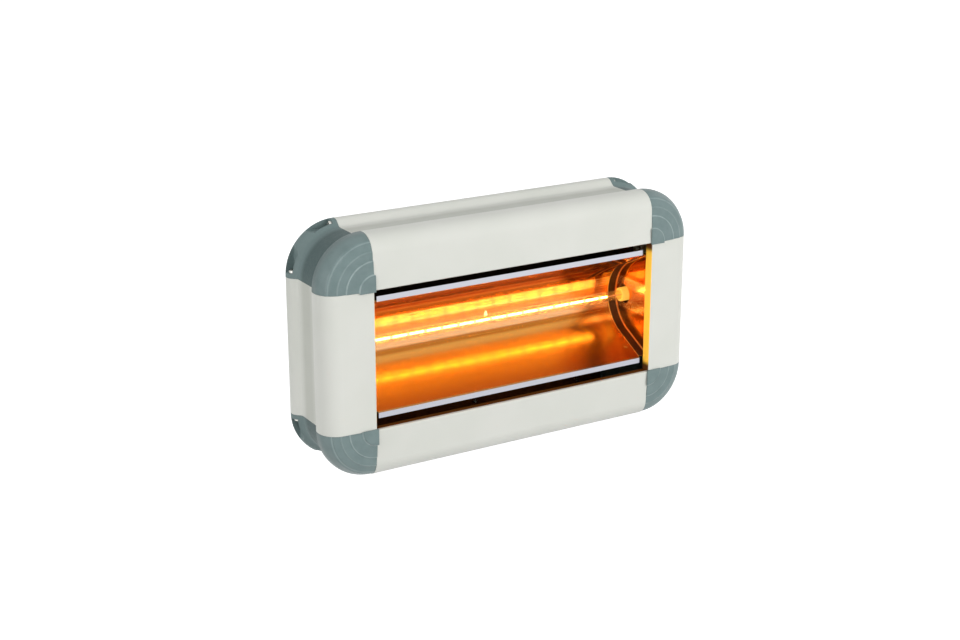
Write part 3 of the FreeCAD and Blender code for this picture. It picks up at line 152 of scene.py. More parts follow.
# %% Trees and finishes
MIX_SHARE, MIX_ONE, MIX_OTHER, MIX_RESULT = 0, 6, 7, 2
NOISE_MIDDLE = (0.3, 0.7)


def opaque(value):
    """A plain colour gets the full cover that a socket asks for; anything else stays as it is."""
    return (*value, 1) if isinstance(value, tuple) else value


class Tree:
    """The node tree of a material or a world."""

    def __init__(self, owner):
        owner.use_nodes = True
        self.tree = owner.node_tree
        self.tree.nodes.clear()

    def node(self, kind, settings=None, sockets=None, output=0):
        item = self.tree.nodes.new(kind)
        for name, value in (settings or {}).items():
            setattr(item, name, value)
        for name, value in (sockets or {}).items():
            if isinstance(value, Strand):
                self.tree.links.new(value.socket, item.inputs[name])
            else:
                item.inputs[name].default_value = value
        return Strand(self, item.outputs[output])

    def end(self, kind, shader):
        """Leads a shader into the output node of the tree."""
        output = self.tree.nodes.new(kind)
        self.tree.links.new(shader.socket, output.inputs["Surface"])

    def seen(self):
        """One where the eye meets a surface, straight, mirrored or through glass, else zero."""
        rays = [self.node("ShaderNodeLightPath", output="Is %s Ray" % kind)
                for kind in ("Camera", "Glossy", "Transmission")]
        return rays[0].at_least(rays[1]).at_least(rays[2])


class Finish(Tree):
    """A material that is being made."""

    def __init__(self, name):
        self.material = bpy.data.materials.new(name)
        super().__init__(self.material)
        self.place = self.node("ShaderNodeTexCoord", output="Object")

    def axis(self, letter):
        return self.node("ShaderNodeSeparateXYZ", {}, {0: self.place}, output="XYZ".index(letter))

    def depth(self):
        """How far a point is behind the front of the frame."""
        return self.axis("Y") - FRONT_PLANE

    def beyond_opening(self, letter):
        """How far a point is outside the opening, along X or Z."""
        return abs(self.axis(letter)) - OPENING_HALF[letter]

    def stretched(self, x, y, z):
        """The place on the object, scaled differently along its axes."""
        return self.node("ShaderNodeMapping", {"vector_type": "POINT"},
                         {"Vector": self.place, "Scale": (x, y, z)})

    def noise(self, scale, detail=3.0, roughness=0.55, place=None):
        return self.node("ShaderNodeTexNoise", {}, {
            "Vector": place or self.place, "Scale": scale, "Detail": detail, "Roughness": roughness,
        })

    def span(self, value, low, high, start=0.0, end=1.0):
        """Takes a value's span to another, held at its ends and eased between them."""
        return self.node("ShaderNodeMapRange", {"interpolation_type": "SMOOTHSTEP"}, {
            "Value": value, "From Min": low, "From Max": high, "To Min": start, "To Max": end,
        })

    def band(self, value, start, full, fading, end):
        """One inside a band of a value and zero outside it, eased on both sides."""
        return self.span(value, start, full) * self.span(value, end, fading)

    def uneven(self, noise, start, end):
        """Takes a noise, most of which lies in the middle of its range, to a range of values."""
        return self.span(noise, *NOISE_MIDDLE, start, end)

    def mix(self, share, one, other):
        """Mixes two colours."""
        return self.node("ShaderNodeMix", {"data_type": "RGBA"}, {
            MIX_SHARE: share, MIX_ONE: opaque(one), MIX_OTHER: opaque(other),
        }, output=MIX_RESULT)

    def fade(self, value, low, high, one, other, most=1.0):
        """Goes from one colour to another over a span of a value, all the way or part of it."""
        return self.mix(self.span(value, low, high, 0.0, most), one, other)

    def soft_edges(self, radius):
        """A normal that rounds sharp edges, for the light to catch them."""
        return self.node("ShaderNodeBevel", {"samples": 4}, {"Radius": radius})

    def bump(self, height, strength, distance, normal=None):
        sockets = {"Height": height, "Strength": strength, "Distance": distance}
        if normal is not None:
            sockets["Normal"] = normal
        return self.node("ShaderNodeBump", {}, sockets)

    def principled(self, **sockets):
        return self.node("ShaderNodeBsdfPrincipled", {}, {
            name.replace("_", " "): opaque(value) for name, value in sockets.items()
        })

    def surface(self, shader=None, **sockets):
        """Ends the tree in a shader, or in one principled surface, and returns the material."""
        self.end("ShaderNodeOutputMaterial", shader or self.principled(**sockets))
        return self.material


def dress(material, *names):
    """Gives a finish to CAD nodes."""
    for name in names:
        slots = nodes[name].data.materials
        slots.clear()
        slots.append(material)
    print(material.name, "on", ", ".join(names))


print("finish:", Finish.__doc__)

# %% [markdown]
# The four profiles have an off-white powder coat. The spray does not reach the hollow of an
# extrusion, and the lamp browns it; its dark brown is also painted shade for the deep cavity. The
# faces in there could get a material of their own, but the mesh of the CAD model stays as it is,
# so the hollow is found from the section: behind the return wall and the front skin, before the
# rear flange, and inside the round nose of the front lobe and the slope at its back. The return
# walls above and below the trough are in its shade and count as hollow, so the hollow's dark
# brown is painted on them as painted shade.

# %% Hollow of a profile
NOSE_OUT, NOSE_DEEP, NOSE_INSIDE = 34 * MM, 21.4 * MM, 18 * MM
SKIN_MIDDLE, FRONT_SLOPE, RETURN_EDGE = 1 * MM, 0.07, 1.6 * MM
LOBE_BACK, BACK_SLOPE, BACK_STEP = 24 * MM, 0.8, 8.5 * MM
BLUR = 0.2 * MM


def past(finish, value, edge):
    """One where a value is past an edge and zero before it, with a slight blur."""
    return finish.span(value, edge - BLUR, edge + BLUR)


def hollow(finish):
    """One in the hollow of a profile, and zero on its coated skin."""
    deep, upright = finish.depth(), finish.beyond_opening("Z")
    out = finish.beyond_opening("X").at_least(upright)
    past_nose = (out - NOSE_OUT).at_least(0.0)
    before_nose = (NOSE_DEEP - deep).at_least(0.0)
    reach = (past_nose * past_nose + before_nose * before_nose) ** 0.5
    reach = reach + ((deep - LOBE_BACK).at_least(0.0) * BACK_SLOPE).at_most(BACK_STEP)
    shaded_return = (finish.span(upright, -2 * BLUR, -BLUR)
                     * finish.span(deep, RETURN_EDGE, RETURN_EDGE + BLUR))
    behind_return = past(finish, out, SKIN_MIDDLE).at_least(shaded_return)
    behind_front = past(finish, deep - out * FRONT_SLOPE, SKIN_MIDDLE)
    before_rear = past(finish, REAR_PLANE - finish.axis("Y"), SKIN_MIDDLE)
    return behind_return * behind_front * before_rear * (1 - past(finish, reach, NOSE_INSIDE))


print("hollow from", round(FRONT_PLANE + SKIN_MIDDLE, 4), "to", round(REAR_PLANE - SKIN_MIDDLE, 4))

# %% [markdown]
# Powder melts into a skin with a very fine orange-peel relief, and its gloss is never quite
# even, so the relief and the roughness each get noise of their own scale. The groove between the
# two lobes is painted greyer, as painted shade. The return walls at the lamp's ends face it, and
# their coat is painted amber as painted lamp light, fading to a painted brown shade towards their
# top and bottom ends; a little emission also stands for the lamp's light on them. The hollow
# is dull and without gloss, so it is a second surface that is mixed in, not just another colour.

# %% Off-white powder coat
BLACK = (0.0, 0.0, 0.0)
CREAM, PALE_CREAM = (0.760, 0.775, 0.715), (0.790, 0.800, 0.745)
GRIME, GRIME_MOST = (0.60, 0.61, 0.55), 0.12
GROOVE_SHADE_GREY, GROOVE_SHADE_SHARE = (0.45, 0.47, 0.40), 0.55
GROOVE_SHADE_DEPTHS = (36 * MM, 50 * MM, 60 * MM, 70 * MM)
AMBER_LAMP_LIGHT, RETURN_END_SHADE, AMBER_GLOW = (1.0, 0.62, 0.07), (0.09, 0.03, 0.006), 0.3
RETURN_FACE = (-0.3 * MM, -0.2 * MM, 0.3 * MM, 0.6 * MM)
SOOT_AND_SHADE, PALE_SOOT_AND_SHADE = (0.10, 0.028, 0.006), (0.15, 0.044, 0.010)
SHADED_BROWN = (0.150, 0.048, 0.009)


def powder_coat():
    finish = Finish("off_white_powder_coat")
    cloud = finish.noise(14.0, detail=2.0)
    peel = finish.noise(900.0, detail=2.0)
    grime = finish.noise(60.0, detail=5.0, roughness=0.65)
    upright = finish.beyond_opening("Z")
    colour = finish.fade(cloud, *NOISE_MIDDLE, CREAM, PALE_CREAM)
    colour = finish.fade(grime, 0.62, 0.8, colour, GRIME, most=GRIME_MOST)
    # Painted shade: the groove between the lobes is painted greyer.
    colour = finish.mix(finish.band(finish.depth(), *GROOVE_SHADE_DEPTHS) * GROOVE_SHADE_SHARE, colour, GROOVE_SHADE_GREY)
    # Painted lamp light: the return walls are painted amber, fading to a painted brown shade near
    # their top and bottom ends.
    lamp_lit_return = finish.band(finish.beyond_opening("X"), *RETURN_FACE)
    lamp_lit_return = lamp_lit_return * finish.span(upright, 0.0, -0.2 * MM)
    painted_lamp_light = finish.fade(upright, -12 * MM, -5 * MM, AMBER_LAMP_LIGHT, RETURN_END_SHADE)
    coat = finish.principled(
        Base_Color=finish.mix(lamp_lit_return, colour, painted_lamp_light),
        Emission_Color=finish.mix(lamp_lit_return, BLACK, painted_lamp_light),
        Emission_Strength=AMBER_GLOW,
        Roughness=finish.span(grime, 0.3, 0.75, 0.36, 0.48),
        Normal=finish.bump(peel, 0.10, 0.2 * MM, finish.soft_edges(0.6 * MM)),
    )
    # The hollow's dark brown is partly browning and partly painted shade; the return walls get a
    # painted brown shade.
    soot_and_shade = finish.fade(grime, 0.35, 0.65, SOOT_AND_SHADE, PALE_SOOT_AND_SHADE)
    soot_and_shade = finish.fade(upright, 0.8 * MM, 0.4 * MM, soot_and_shade, SHADED_BROWN)
    bare = finish.principled(Base_Color=soot_and_shade, Roughness=0.8, Specular_IOR_Level=0.0)
    both = {0: hollow(finish), 1: coat, 2: bare}
    return finish.surface(finish.node("ShaderNodeMixShader", {}, both))


dress(powder_coat(), "top_profile", "right_profile", "bottom_profile", "left_profile")

# %% [markdown]
# The corners are castings under blue-grey paint. Cast surfaces are a little lumpy and the paint
# fills them, so the bump is broader and softer than on the profiles. Each front has rings round
# the corner of the opening. Light lines are painted on their raised edges as painted highlight,
# the inner two more than the outer two; the distance from that corner finds them, and noise
# breaks up the lines. The groove behind the front lobe is painted dark as painted shade, and is
# dull, and the rear lobe is lighter again.

# %% Blue-grey casting paint
RINGS = ((16 * MM, 1.0), (29 * MM, 1.0), (38 * MM, 0.4), (46.3 * MM, 0.55))
RING_FADE, RING_FULL = 0.9 * MM, 0.3 * MM
SLATE, PALE_SLATE = (0.160, 0.228, 0.227), (0.190, 0.262, 0.261)
GROOVE_SHADE_SLATE, REAR_SLATE = (0.042, 0.078, 0.077), (0.170, 0.235, 0.233)
RING_HIGHLIGHT_SLATE = (0.37, 0.46, 0.46)


def casting_paint():
    finish = Finish("blue_grey_casting_paint")
    skin, lump = finish.noise(450.0), finish.noise(70.0)
    deep = finish.depth()
    across, upright = finish.beyond_opening("X"), finish.beyond_opening("Z")
    radius = (across * across + upright * upright) ** 0.5
    ring_highlight = 0.0
    # Painted highlight: light lines on the ring edges, broken by noise.
    for ring, ring_share in RINGS:
        ring_highlight = finish.span(abs(radius - ring), RING_FADE, RING_FULL) * ring_share + ring_highlight
    ring_highlight = ring_highlight * finish.span(deep, 12 * MM, 10 * MM) * finish.span(lump, 0.25, 0.6, 0.25, 0.75)
    colour = finish.fade(lump, *NOISE_MIDDLE, SLATE, PALE_SLATE)
    # Painted shade: the groove behind the front lobe is painted dark slate, lighter again on the rear
    # lobe.
    shaded = finish.fade(deep, 60 * MM, 70 * MM, GROOVE_SHADE_SLATE, REAR_SLATE)
    colour = finish.fade(deep, 14 * MM, 34 * MM, colour, shaded, most=0.85)
    return finish.surface(
        Base_Color=finish.mix(ring_highlight, colour, RING_HIGHLIGHT_SLATE),
        Roughness=finish.uneven(skin, 0.30, 0.42) + finish.span(deep, 20 * MM, 34 * MM, 0.0, 0.2),
        Normal=finish.bump(skin * 0.4 + lump * 0.6, 0.12, 0.4 * MM, finish.soft_edges(0.8 * MM)),
    )


dress(casting_paint(),
      "corner_top_right", "corner_bottom_right", "corner_bottom_left", "corner_top_left")

# %% [markdown]
# The trough is bright sheet that was rolled along its length, so its finest lines run along X.
# It is nearly a mirror, so most of what shows in it is the lamp. The sheet is gold-coloured:
# orange on the flanks, deeper and duller on the lower one. At the bend behind the lamp it is
# straw above and has an orange line in the middle, with a dark line on each side. These tints
# are partly heat tint and partly painted reflection of the glowing lamp and what lies round it.
# The cool front lips stay bright. Light alone does not make these bands, so they are tints that
# follow the height, and a slow wave lets their edges wander. The end mirrors are the same sheet.

# %% Mirror sheet with heat tint and painted reflections
BEND_HEIGHT, BEND_DULLNESS, LOWER_DULLER = 2 * MM, 0.24, 2.4
FLANK_DEPTHS, LIP_DEPTHS = (9 * MM, 34 * MM), (8.9 * MM, 10.5 * MM)
UPPER_FRONT, UPPER_BACK = (0.60, 0.26, 0.07), (0.80, 0.36, 0.08)
LOWER_FRONT, LOWER_BACK = (0.50, 0.19, 0.06), (0.66, 0.30, 0.065)
GOLD, STRAW, ORANGE = (0.88, 0.47, 0.21), (0.95, 0.60, 0.33), (0.74, 0.28, 0.09)
TEMPER_AND_REFLECTION, TEMPER_AND_REFLECTION_SHARE, LIP = (0.46, 0.15, 0.02), 0.9, (0.43, 0.435, 0.48)
ORANGE_HEIGHTS = (-6 * MM, -4 * MM, 7 * MM, 9 * MM)
TEMPER_AND_REFLECTION_REACH = (17 * MM, 19 * MM, 22 * MM, 25 * MM)


def mirror_sheet(name, dullness):
    finish = Finish(name)
    height, deep = finish.axis("Z"), finish.depth()
    away = abs(height - BEND_HEIGHT)
    rolled = finish.noise(1.0, place=finish.stretched(9.0, 1500.0, 1500.0))
    wave = finish.noise(1.0, detail=1.0, place=finish.stretched(5.0, 30.0, 30.0))
    wander = away + wave * (1.2 * MM)
    # Partly heat tint, partly painted reflection: these tints follow the height and stand for the
    # lamp's glow in the sheet.
    upper = finish.fade(deep, *FLANK_DEPTHS, UPPER_FRONT, UPPER_BACK)
    lower = finish.fade(deep, *FLANK_DEPTHS, LOWER_FRONT, LOWER_BACK)
    flank = finish.fade(height, 0.0, -8 * MM, upper, lower)
    gold = finish.fade(wander, 22 * MM, 18 * MM, flank, GOLD)
    straw_and_reflection = finish.span(height, 8 * MM, 11 * MM) * finish.span(wander, 19 * MM, 17 * MM)
    gold = finish.mix(straw_and_reflection, gold, STRAW)
    gold = finish.mix(finish.band(height, *ORANGE_HEIGHTS), gold, ORANGE)
    gold = finish.mix(finish.band(wander, *TEMPER_AND_REFLECTION_REACH) * TEMPER_AND_REFLECTION_SHARE, gold, TEMPER_AND_REFLECTION)
    dull = finish.span(height, -24 * MM, 24 * MM, LOWER_DULLER * dullness, dullness)
    bend = finish.span(away, 24 * MM, 16 * MM)
    dull = dull * (1 - bend) + bend * BEND_DULLNESS
    return finish.surface(
        Base_Color=finish.fade(deep, *LIP_DEPTHS, LIP, gold),
        Metallic=1.0,
        Roughness=dull * finish.uneven(rolled, 0.8, 1.2),
        Normal=finish.bump(rolled * 0.1 + wave, 0.02, 0.5 * MM),
    )


dress(mirror_sheet("heat_tint_and_reflection_sheet", 0.095), "reflector_trough", "reflector_rivets")
dress(mirror_sheet("dulled_mirror_sheet", 0.08), "end_mirror_left", "end_mirror_right")

# %% [markdown]
# The end caps are plain steel that heat has browned. Sheared edges are painted bright orange,
# partly bare metal and partly painted highlight of the lamp's light. They are found where a
# normal that is rounded at edges turns away from the plain one, so no edge is marked by hand. The
# two rims of the strap that shows between the trough and the end mirror get the same painted
# highlight.

# %% Heat-browned steel
STRAP_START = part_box("reflector_trough")[1].x
STRAP_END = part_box("end_mirror_right")[0].x
BROWN, PALE_BROWN = (0.060, 0.030, 0.016), (0.105, 0.055, 0.028)
SCALE_BROWN, BARE_EDGE_AND_HIGHLIGHT = (0.030, 0.020, 0.016), (0.95, 0.55, 0.18)


def browned_steel():
    finish = Finish("heat_browned_steel")
    scale = finish.noise(240.0, detail=5.0, roughness=0.7)
    cloud = finish.noise(35.0)
    rounded = finish.soft_edges(0.5 * MM)
    plain = finish.node("ShaderNodeNewGeometry", output="Normal")
    turn = finish.node("ShaderNodeVectorMath", {"operation": "DOT_PRODUCT"},
                       {0: rounded, 1: plain}, output="Value")
    edge = finish.span(turn, 0.99, 0.9)
    along = abs(finish.axis("X"))
    near_rim = finish.span(abs(along - STRAP_START), 2.2 * MM, 1.5 * MM)
    far_rim = finish.span(abs(along - STRAP_END), 1.6 * MM, 0.9 * MM)
    colour = finish.fade(cloud, *NOISE_MIDDLE, BROWN, PALE_BROWN)
    colour = finish.fade(scale, 0.5, 0.8, colour, SCALE_BROWN, most=0.5)
    # Painted highlight: sheared edges and the strap's two rims are painted bright orange, partly bare
    # metal.
    return finish.surface(
        Base_Color=finish.mix(edge.at_least(near_rim).at_least(far_rim), colour, BARE_EDGE_AND_HIGHLIGHT),
        Metallic=0.85,
        Roughness=finish.uneven(scale, 0.34, 0.5),
        Normal=finish.bump(scale, 0.12, 0.3 * MM, rounded),
    )


dress(browned_steel(), "end_cap_left", "end_cap_right")

# %% [markdown]
# The quartz tube lets nearly all light through. A glass shader could do that, but the filament's
# light would leave it with much noise, so the tube is a thin cover with open Alpha instead. It
# shows by its gloss, most of all where the eye grazes it, so its cover follows the angle of
# view, as glass does. What covers is mostly a mirror, tinted amber as a painted glow of the lamp
# in it: only a little of it is a haze for the filament to light up. Emission at the grazing edges
# and at the pip on top, where the tube was sealed, is painted light: it stands for the light that
# runs along inside the wall and leaves it there.

# %% Clear quartz
HOT_HALF = 147 * MM
HOT_FADE = 6 * MM
PIP_HEIGHTS, PIP_COVER = (4.9 * MM, 5.3 * MM), 0.9
QUARTZ_GLOW_TINT, QUARTZ_LIGHT, QUARTZ_GLOW = (1.0, 0.68, 0.30), (1.0, 0.66, 0.28), 1.5
QUARTZ_METAL = 0.6


def quartz():
    finish = Finish("clear_quartz")
    facing = finish.node("ShaderNodeLayerWeight", {}, {"Blend": 0.35}, output="Facing")
    haze = finish.noise(160.0)
    pip = finish.span(finish.axis("Z"), *PIP_HEIGHTS)
    cover = finish.span(facing, 0.3, 0.95, 0.16, 0.75) + finish.span(haze, 0.55, 0.8, 0.0, 0.03)
    hot = finish.span(abs(finish.axis("X")), HOT_HALF, HOT_HALF - HOT_FADE)
    lit = finish.span(facing, 0.72, 0.95) * hot
    # Painted light: the amber tint and the emission at the grazing edges and the pip stand for the
    # lamp's glow.
    return finish.surface(
        Base_Color=QUARTZ_GLOW_TINT,
        Metallic=QUARTZ_METAL - pip * QUARTZ_METAL,
        Roughness=finish.span(haze, 0.3, 0.8, 0.02, 0.06),
        Alpha=cover.at_least(pip * PIP_COVER),
        Emission_Color=finish.mix(lit.at_least(pip), BLACK, QUARTZ_LIGHT),
        Emission_Strength=QUARTZ_GLOW,
    )


dress(quartz(), "lamp_tube")

# %% [markdown]
# The filament glows. Its colour is hottest in the middle of each span between two supports,
# which draw heat away, and it fades towards the cool tails. The coil lies along X, so the place
# along X is all that its emission needs; a Ping-Pong node repeats it from support to support.

# %% White-hot tungsten
SUPPORT_PITCH = 19.5 * MM
GLOW = 34.0
HOT, COOLED, COLD = (1.0, 0.50, 0.085), (0.30, 0.10, 0.012), (0.02, 0.004, 0.0)


def hot_tungsten():
    finish = Finish("white_hot_tungsten")
    along = finish.axis("X")
    from_support = finish.node("ShaderNodeMath", {"operation": "PINGPONG"},
                               {0: along, 1: SUPPORT_PITCH / 2})
    colour = finish.fade(from_support, 0.6 * MM, 2.2 * MM, COOLED, HOT)
    colour = finish.fade(abs(along), HOT_HALF - MM, HOT_HALF + MM, colour, COLD)
    return finish.surface(
        Base_Color=(0.25, 0.22, 0.20),
        Roughness=0.5,
        Emission_Color=colour,
        Emission_Strength=GLOW,
    )


dress(hot_tungsten(), "lamp_filament")

# %% [markdown]
# The fasteners are zinc-plated: a faint spangle in the colour, and fine scratches that make the
# gloss uneven. One finish serves them all, and the lamp's clips and wire supports too, because
# at their size only the gloss tells. The screws of the terminal block are plain brass with
# stains.

# %% Other metals
def zinc_plate():
    finish = Finish("zinc_plated_steel")
    spangle = finish.noise(300.0, detail=2.0)
    scratch = finish.noise(1.0, detail=4.0, place=finish.stretched(900.0, 900.0, 120.0))
    return finish.surface(
        Base_Color=finish.fade(spangle, 0.35, 0.65, (0.56, 0.56, 0.53), (0.70, 0.69, 0.64)),
        Metallic=1.0,
        Roughness=finish.uneven(scratch, 0.22, 0.38),
        Normal=finish.bump(scratch, 0.06, 0.2 * MM, finish.soft_edges(0.3 * MM)),
    )


def brass():
    finish = Finish("plain_brass")
    stain = finish.noise(200.0, detail=4.0)
    return finish.surface(
        Base_Color=finish.fade(stain, 0.4, 0.75, (0.72, 0.52, 0.22), (0.45, 0.30, 0.12)),
        Metallic=1.0,
        Roughness=finish.uneven(stain, 0.25, 0.42),
    )


dress(zinc_plate(),
      "corner_screws", "rear_cover_screws", "end_cap_screws", "earth_screw", "pivot_bolts",
      "pivot_nuts", "lock_screws", "lock_nuts", "pivot_washers", "tilt_bracket_screws",
      "tilt_bracket_nuts", "lamp_clip_left", "lamp_clip_right", "lamp_supports")
dress(brass(), "terminal_screws")

# %% [markdown]
# The lamp's bases and the terminal block are speckled ceramic: fine noise for the specks and
# broad noise for clouds. The bases are painted a warm orange as painted lamp light, and a little
# emission stands for the lamp's light in them. The leads wear woven sleeves, and the bands of a
# Wave texture are enough for their threads.

# %% Ceramic and sleeves
SPECK, LAMP_LIGHT = (0.42, 0.36, 0.26), (1.0, 0.52, 0.06)


def steatite(name, pale, dark, glow=0.0):
    """Speckled ceramic, which may glow beside the lamp."""
    finish = Finish(name)
    speck = finish.noise(900.0, detail=2.0)
    cloud = finish.noise(90.0, detail=4.0)
    colour = finish.fade(cloud, 0.35, 0.7, pale, dark)
    return finish.surface(
        Base_Color=finish.fade(speck, 0.64, 0.72, colour, SPECK, most=0.5),
        Roughness=finish.uneven(cloud, 0.5, 0.65),
        Emission_Color=LAMP_LIGHT,
        Emission_Strength=glow,
        Normal=finish.bump(speck, 0.1, 0.2 * MM, finish.soft_edges(0.4 * MM)),
    )


def sleeve(name, pale, dark):
    """A woven sleeve with diagonal threads."""
    finish = Finish(name)
    weave = finish.node("ShaderNodeTexWave", {"bands_direction": "DIAGONAL"}, {
        "Vector": finish.place, "Scale": 700.0, "Distortion": 0.4, "Detail": 1.0,
    }, output="Fac")
    return finish.surface(
        Base_Color=finish.mix(weave, pale, dark),
        Roughness=0.75,
        Normal=finish.bump(weave, 0.3, 0.2 * MM),
    )


# Painted lamp light: the bases' warm orange tones and their emission.
dress(steatite("lamp_steatite", (1.0, 0.63, 0.15), (0.95, 0.52, 0.11), glow=0.7),
      "lamp_base_left", "lamp_base_right")
dress(steatite("block_steatite", (0.88, 0.87, 0.82), (0.82, 0.80, 0.74)), "terminal_block")
dress(sleeve("fibre_sleeve", (0.74, 0.72, 0.66), (0.60, 0.58, 0.52)),
      "lamp_lead_left", "lamp_lead_right")
dress(sleeve("earth_sleeve", (0.42, 0.52, 0.10), (0.16, 0.36, 0.08)), "earth_lead")

# %% [markdown]
# Seals, the gland, the brackets and the cover have plain skins that differ in colour, grain and
# gloss, so one function makes them all. The inner face of the cover is dark brown.

# %% Rubber, plastic and sheet paint
INNER_DARK_BROWN = (0.020, 0.009, 0.004)
BLACK_RUBBER = ((0.075, 0.075, 0.075), (0.045, 0.045, 0.045))
BLACK_PLASTIC = ((0.075, 0.076, 0.08), (0.05, 0.051, 0.054))
SHEET_GREY = ((0.27, 0.345, 0.342), (0.235, 0.31, 0.308))


def moulded(name, tones, roughness, grain, dark_face=None):
    """A plain skin with grain and dust. A face at a depth, if one is given, is dark brown."""
    finish = Finish(name)
    pale, dark = tones
    fine = finish.noise(grain)
    dust = finish.noise(50.0, detail=5.0, roughness=0.65)
    colour = finish.fade(dust, 0.45, 0.75, dark, pale)
    if dark_face is not None:
        behind = finish.axis("Y") - dark_face
        colour = finish.fade(behind, 0.2 * MM, 0.6 * MM, INNER_DARK_BROWN, colour)
    return finish.surface(
        Base_Color=colour,
        Roughness=finish.uneven(fine, roughness - 0.06, roughness + 0.08),
        Normal=finish.bump(fine, 0.15, 0.2 * MM, finish.soft_edges(0.5 * MM)),
    )


dress(moulded("black_silicone", BLACK_RUBBER, 0.72, 600.0), "rear_gasket", "gland_seal")
dress(moulded("black_polyamide", BLACK_PLASTIC, 0.48, 1100.0),
      "gland_body", "gland_locknut", "gland_cap")
dress(moulded("grey_sheet_paint", SHEET_GREY, 0.46, 800.0), "tilt_bracket", "wall_bracket")
dress(moulded("grey_cover_paint", SHEET_GREY, 0.46, 800.0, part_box("rear_cover")[0].y), "rear_cover")

# %% [markdown]
# Now the fine pieces. Each is made once from a primitive, and where it repeats, copies with
# their own mesh go to the places of the CAD solids they stand for. A CAD node comes as loose
# triangles, so a merged copy of its mesh is walked from vertex to vertex to tell its solids
# apart.

# %% Solids of a CAD node
MERGE_DISTANCE = 0.01 * MM


def solids(name):
    """The vertex places of each separate solid of a CAD node."""
    mesh = bmesh.new()
    mesh.from_mesh(nodes[name].data)
    bmesh.ops.remove_doubles(mesh, verts=mesh.verts, dist=MERGE_DISTANCE)
    groups, seen = [], set()
    for start in mesh.verts:
        if start in seen:
            continue
        group, front = [], [start]
        seen.add(start)
        while front:
            vertex = front.pop()
            group.append(vertex.co.copy())
            for edge in vertex.link_edges:
                other = edge.other_vert(vertex)
                if other not in seen:
                    seen.add(other)
                    front.append(other)
        groups.append(group)
    mesh.free()
    print(name, "has", len(groups), "solids")
    return groups


def extent(points):
    """Lowest and highest corner of a set of places."""
    return (Vector([min(p[i] for p in points) for i in range(3)]),
            Vector([max(p[i] for p in points) for i in range(3)]))


# %% [markdown]
# The other tools drive Blender's own operators, as a modeller would by hand: select, edit,
# modify, join and copy. A finished piece takes over the body, the slot and the finish of the CAD
# node that it stands for.

# %% Tools for the fine pieces
SMOOTH_ANGLE = math.radians(35)


def added(operator, **settings):
    """Runs an operator that adds an object and returns the object."""
    bpy.ops.object.select_all(action="DESELECT")
    operator(**settings)
    return bpy.context.object


def pick(*pieces):
    """Selects pieces and nothing else, with the first of them active."""
    bpy.ops.object.select_all(action="DESELECT")
    for piece in pieces:
        piece.select_set(True)
    bpy.context.view_layer.objects.active = pieces[0]


def edit(piece):
    """Opens a piece for editing with nothing selected."""
    pick(piece)
    bpy.ops.object.mode_set(mode="EDIT")
    bpy.ops.mesh.select_mode(type="FACE")
    bpy.ops.mesh.select_all(action="DESELECT")


def pick_parts(piece, kind, wanted):
    """Selects the faces or verts of a piece in edit mode that pass a test."""
    mesh = bmesh.from_edit_mesh(piece.data)
    for part in getattr(mesh, kind):
        part.select = wanted(part)
    mesh.select_flush(True)
    bmesh.update_edit_mesh(piece.data)


def modify(piece, kind, **settings):
    """Adds a modifier to a piece and applies it."""
    pick(piece)
    bpy.ops.object.modifier_add(type=kind)
    modifier = piece.modifiers[-1]
    for name, value in settings.items():
        setattr(modifier, name, value)
    bpy.ops.object.modifier_apply(modifier=modifier.name)


def joined(name, pieces):
    """Joins pieces into one, at the origin and unturned, with normals that face out."""
    pick(*pieces)
    if len(pieces) > 1:
        bpy.ops.object.join()
    whole = bpy.context.object
    whole.name = name
    bpy.ops.object.transform_apply(location=True, rotation=True, scale=True)
    bpy.ops.object.mode_set(mode="EDIT")
    bpy.ops.mesh.select_all(action="SELECT")
    bpy.ops.mesh.normals_make_consistent(inside=False)
    bpy.ops.object.mode_set(mode="OBJECT")
    bpy.ops.object.shade_smooth_by_angle(angle=SMOOTH_ANGLE)
    return whole


def copies(model, places):
    """Puts a copy of a model, with its own mesh, at each place, and removes the model."""
    made = []
    for place in places:
        twin = model.copy()
        twin.data = model.data.copy()
        twin.data.transform(place)
        scene.collection.objects.link(twin)
        made.append(twin)
    bpy.data.objects.remove(model)
    return made


def stand_for(piece, node):
    """The piece takes the place of a CAD node: its body, its material slot and its finish."""
    piece.data.materials.clear()
    piece.data.materials.append(nodes[node].data.materials[0])
    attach(piece, "heater")
    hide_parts(node)
    print(piece.name, "stands for", node, "with", len(piece.data.polygons), "faces")


# %% [markdown]
# The filament is a coil of tungsten wire. A bevelled curve could draw it, but a Screw modifier
# needs only the pitch: it sweeps one small ring of wire round the lamp's axis while it moves
# along. Straight tails lead from the coil to the seals in the bases.

# %% Filament coil
QUARTER_TURN = math.pi / 2
WIRE_RADIUS, WIRE_SIDES = 0.25 * MM, 5
COIL_RADIUS, COIL_PITCH, COIL_STEPS = 0.95 * MM, 1.2 * MM, 9
TAIL_RADIUS, TAIL_SIDES = 2 * WIRE_RADIUS, 8

lamp_low, lamp_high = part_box("lamp_filament")
lamp_axis = (lamp_low + lamp_high) / 2
coil = added(bpy.ops.mesh.primitive_circle_add, vertices=WIRE_SIDES, radius=WIRE_RADIUS,
             rotation=(QUARTER_TURN, 0, 0))
bpy.ops.object.transform_apply(rotation=True)
edit(coil)
bpy.ops.mesh.select_all(action="SELECT")
bpy.ops.transform.translate(value=(0, 0, COIL_RADIUS))
bpy.ops.object.mode_set(mode="OBJECT")
modify(coil, "SCREW", axis="X", screw_offset=COIL_PITCH,
       iterations=round(2 * HOT_HALF / COIL_PITCH), steps=COIL_STEPS, render_steps=COIL_STEPS)
coil.location = lamp_axis - Vector((HOT_HALF, 0, 0))

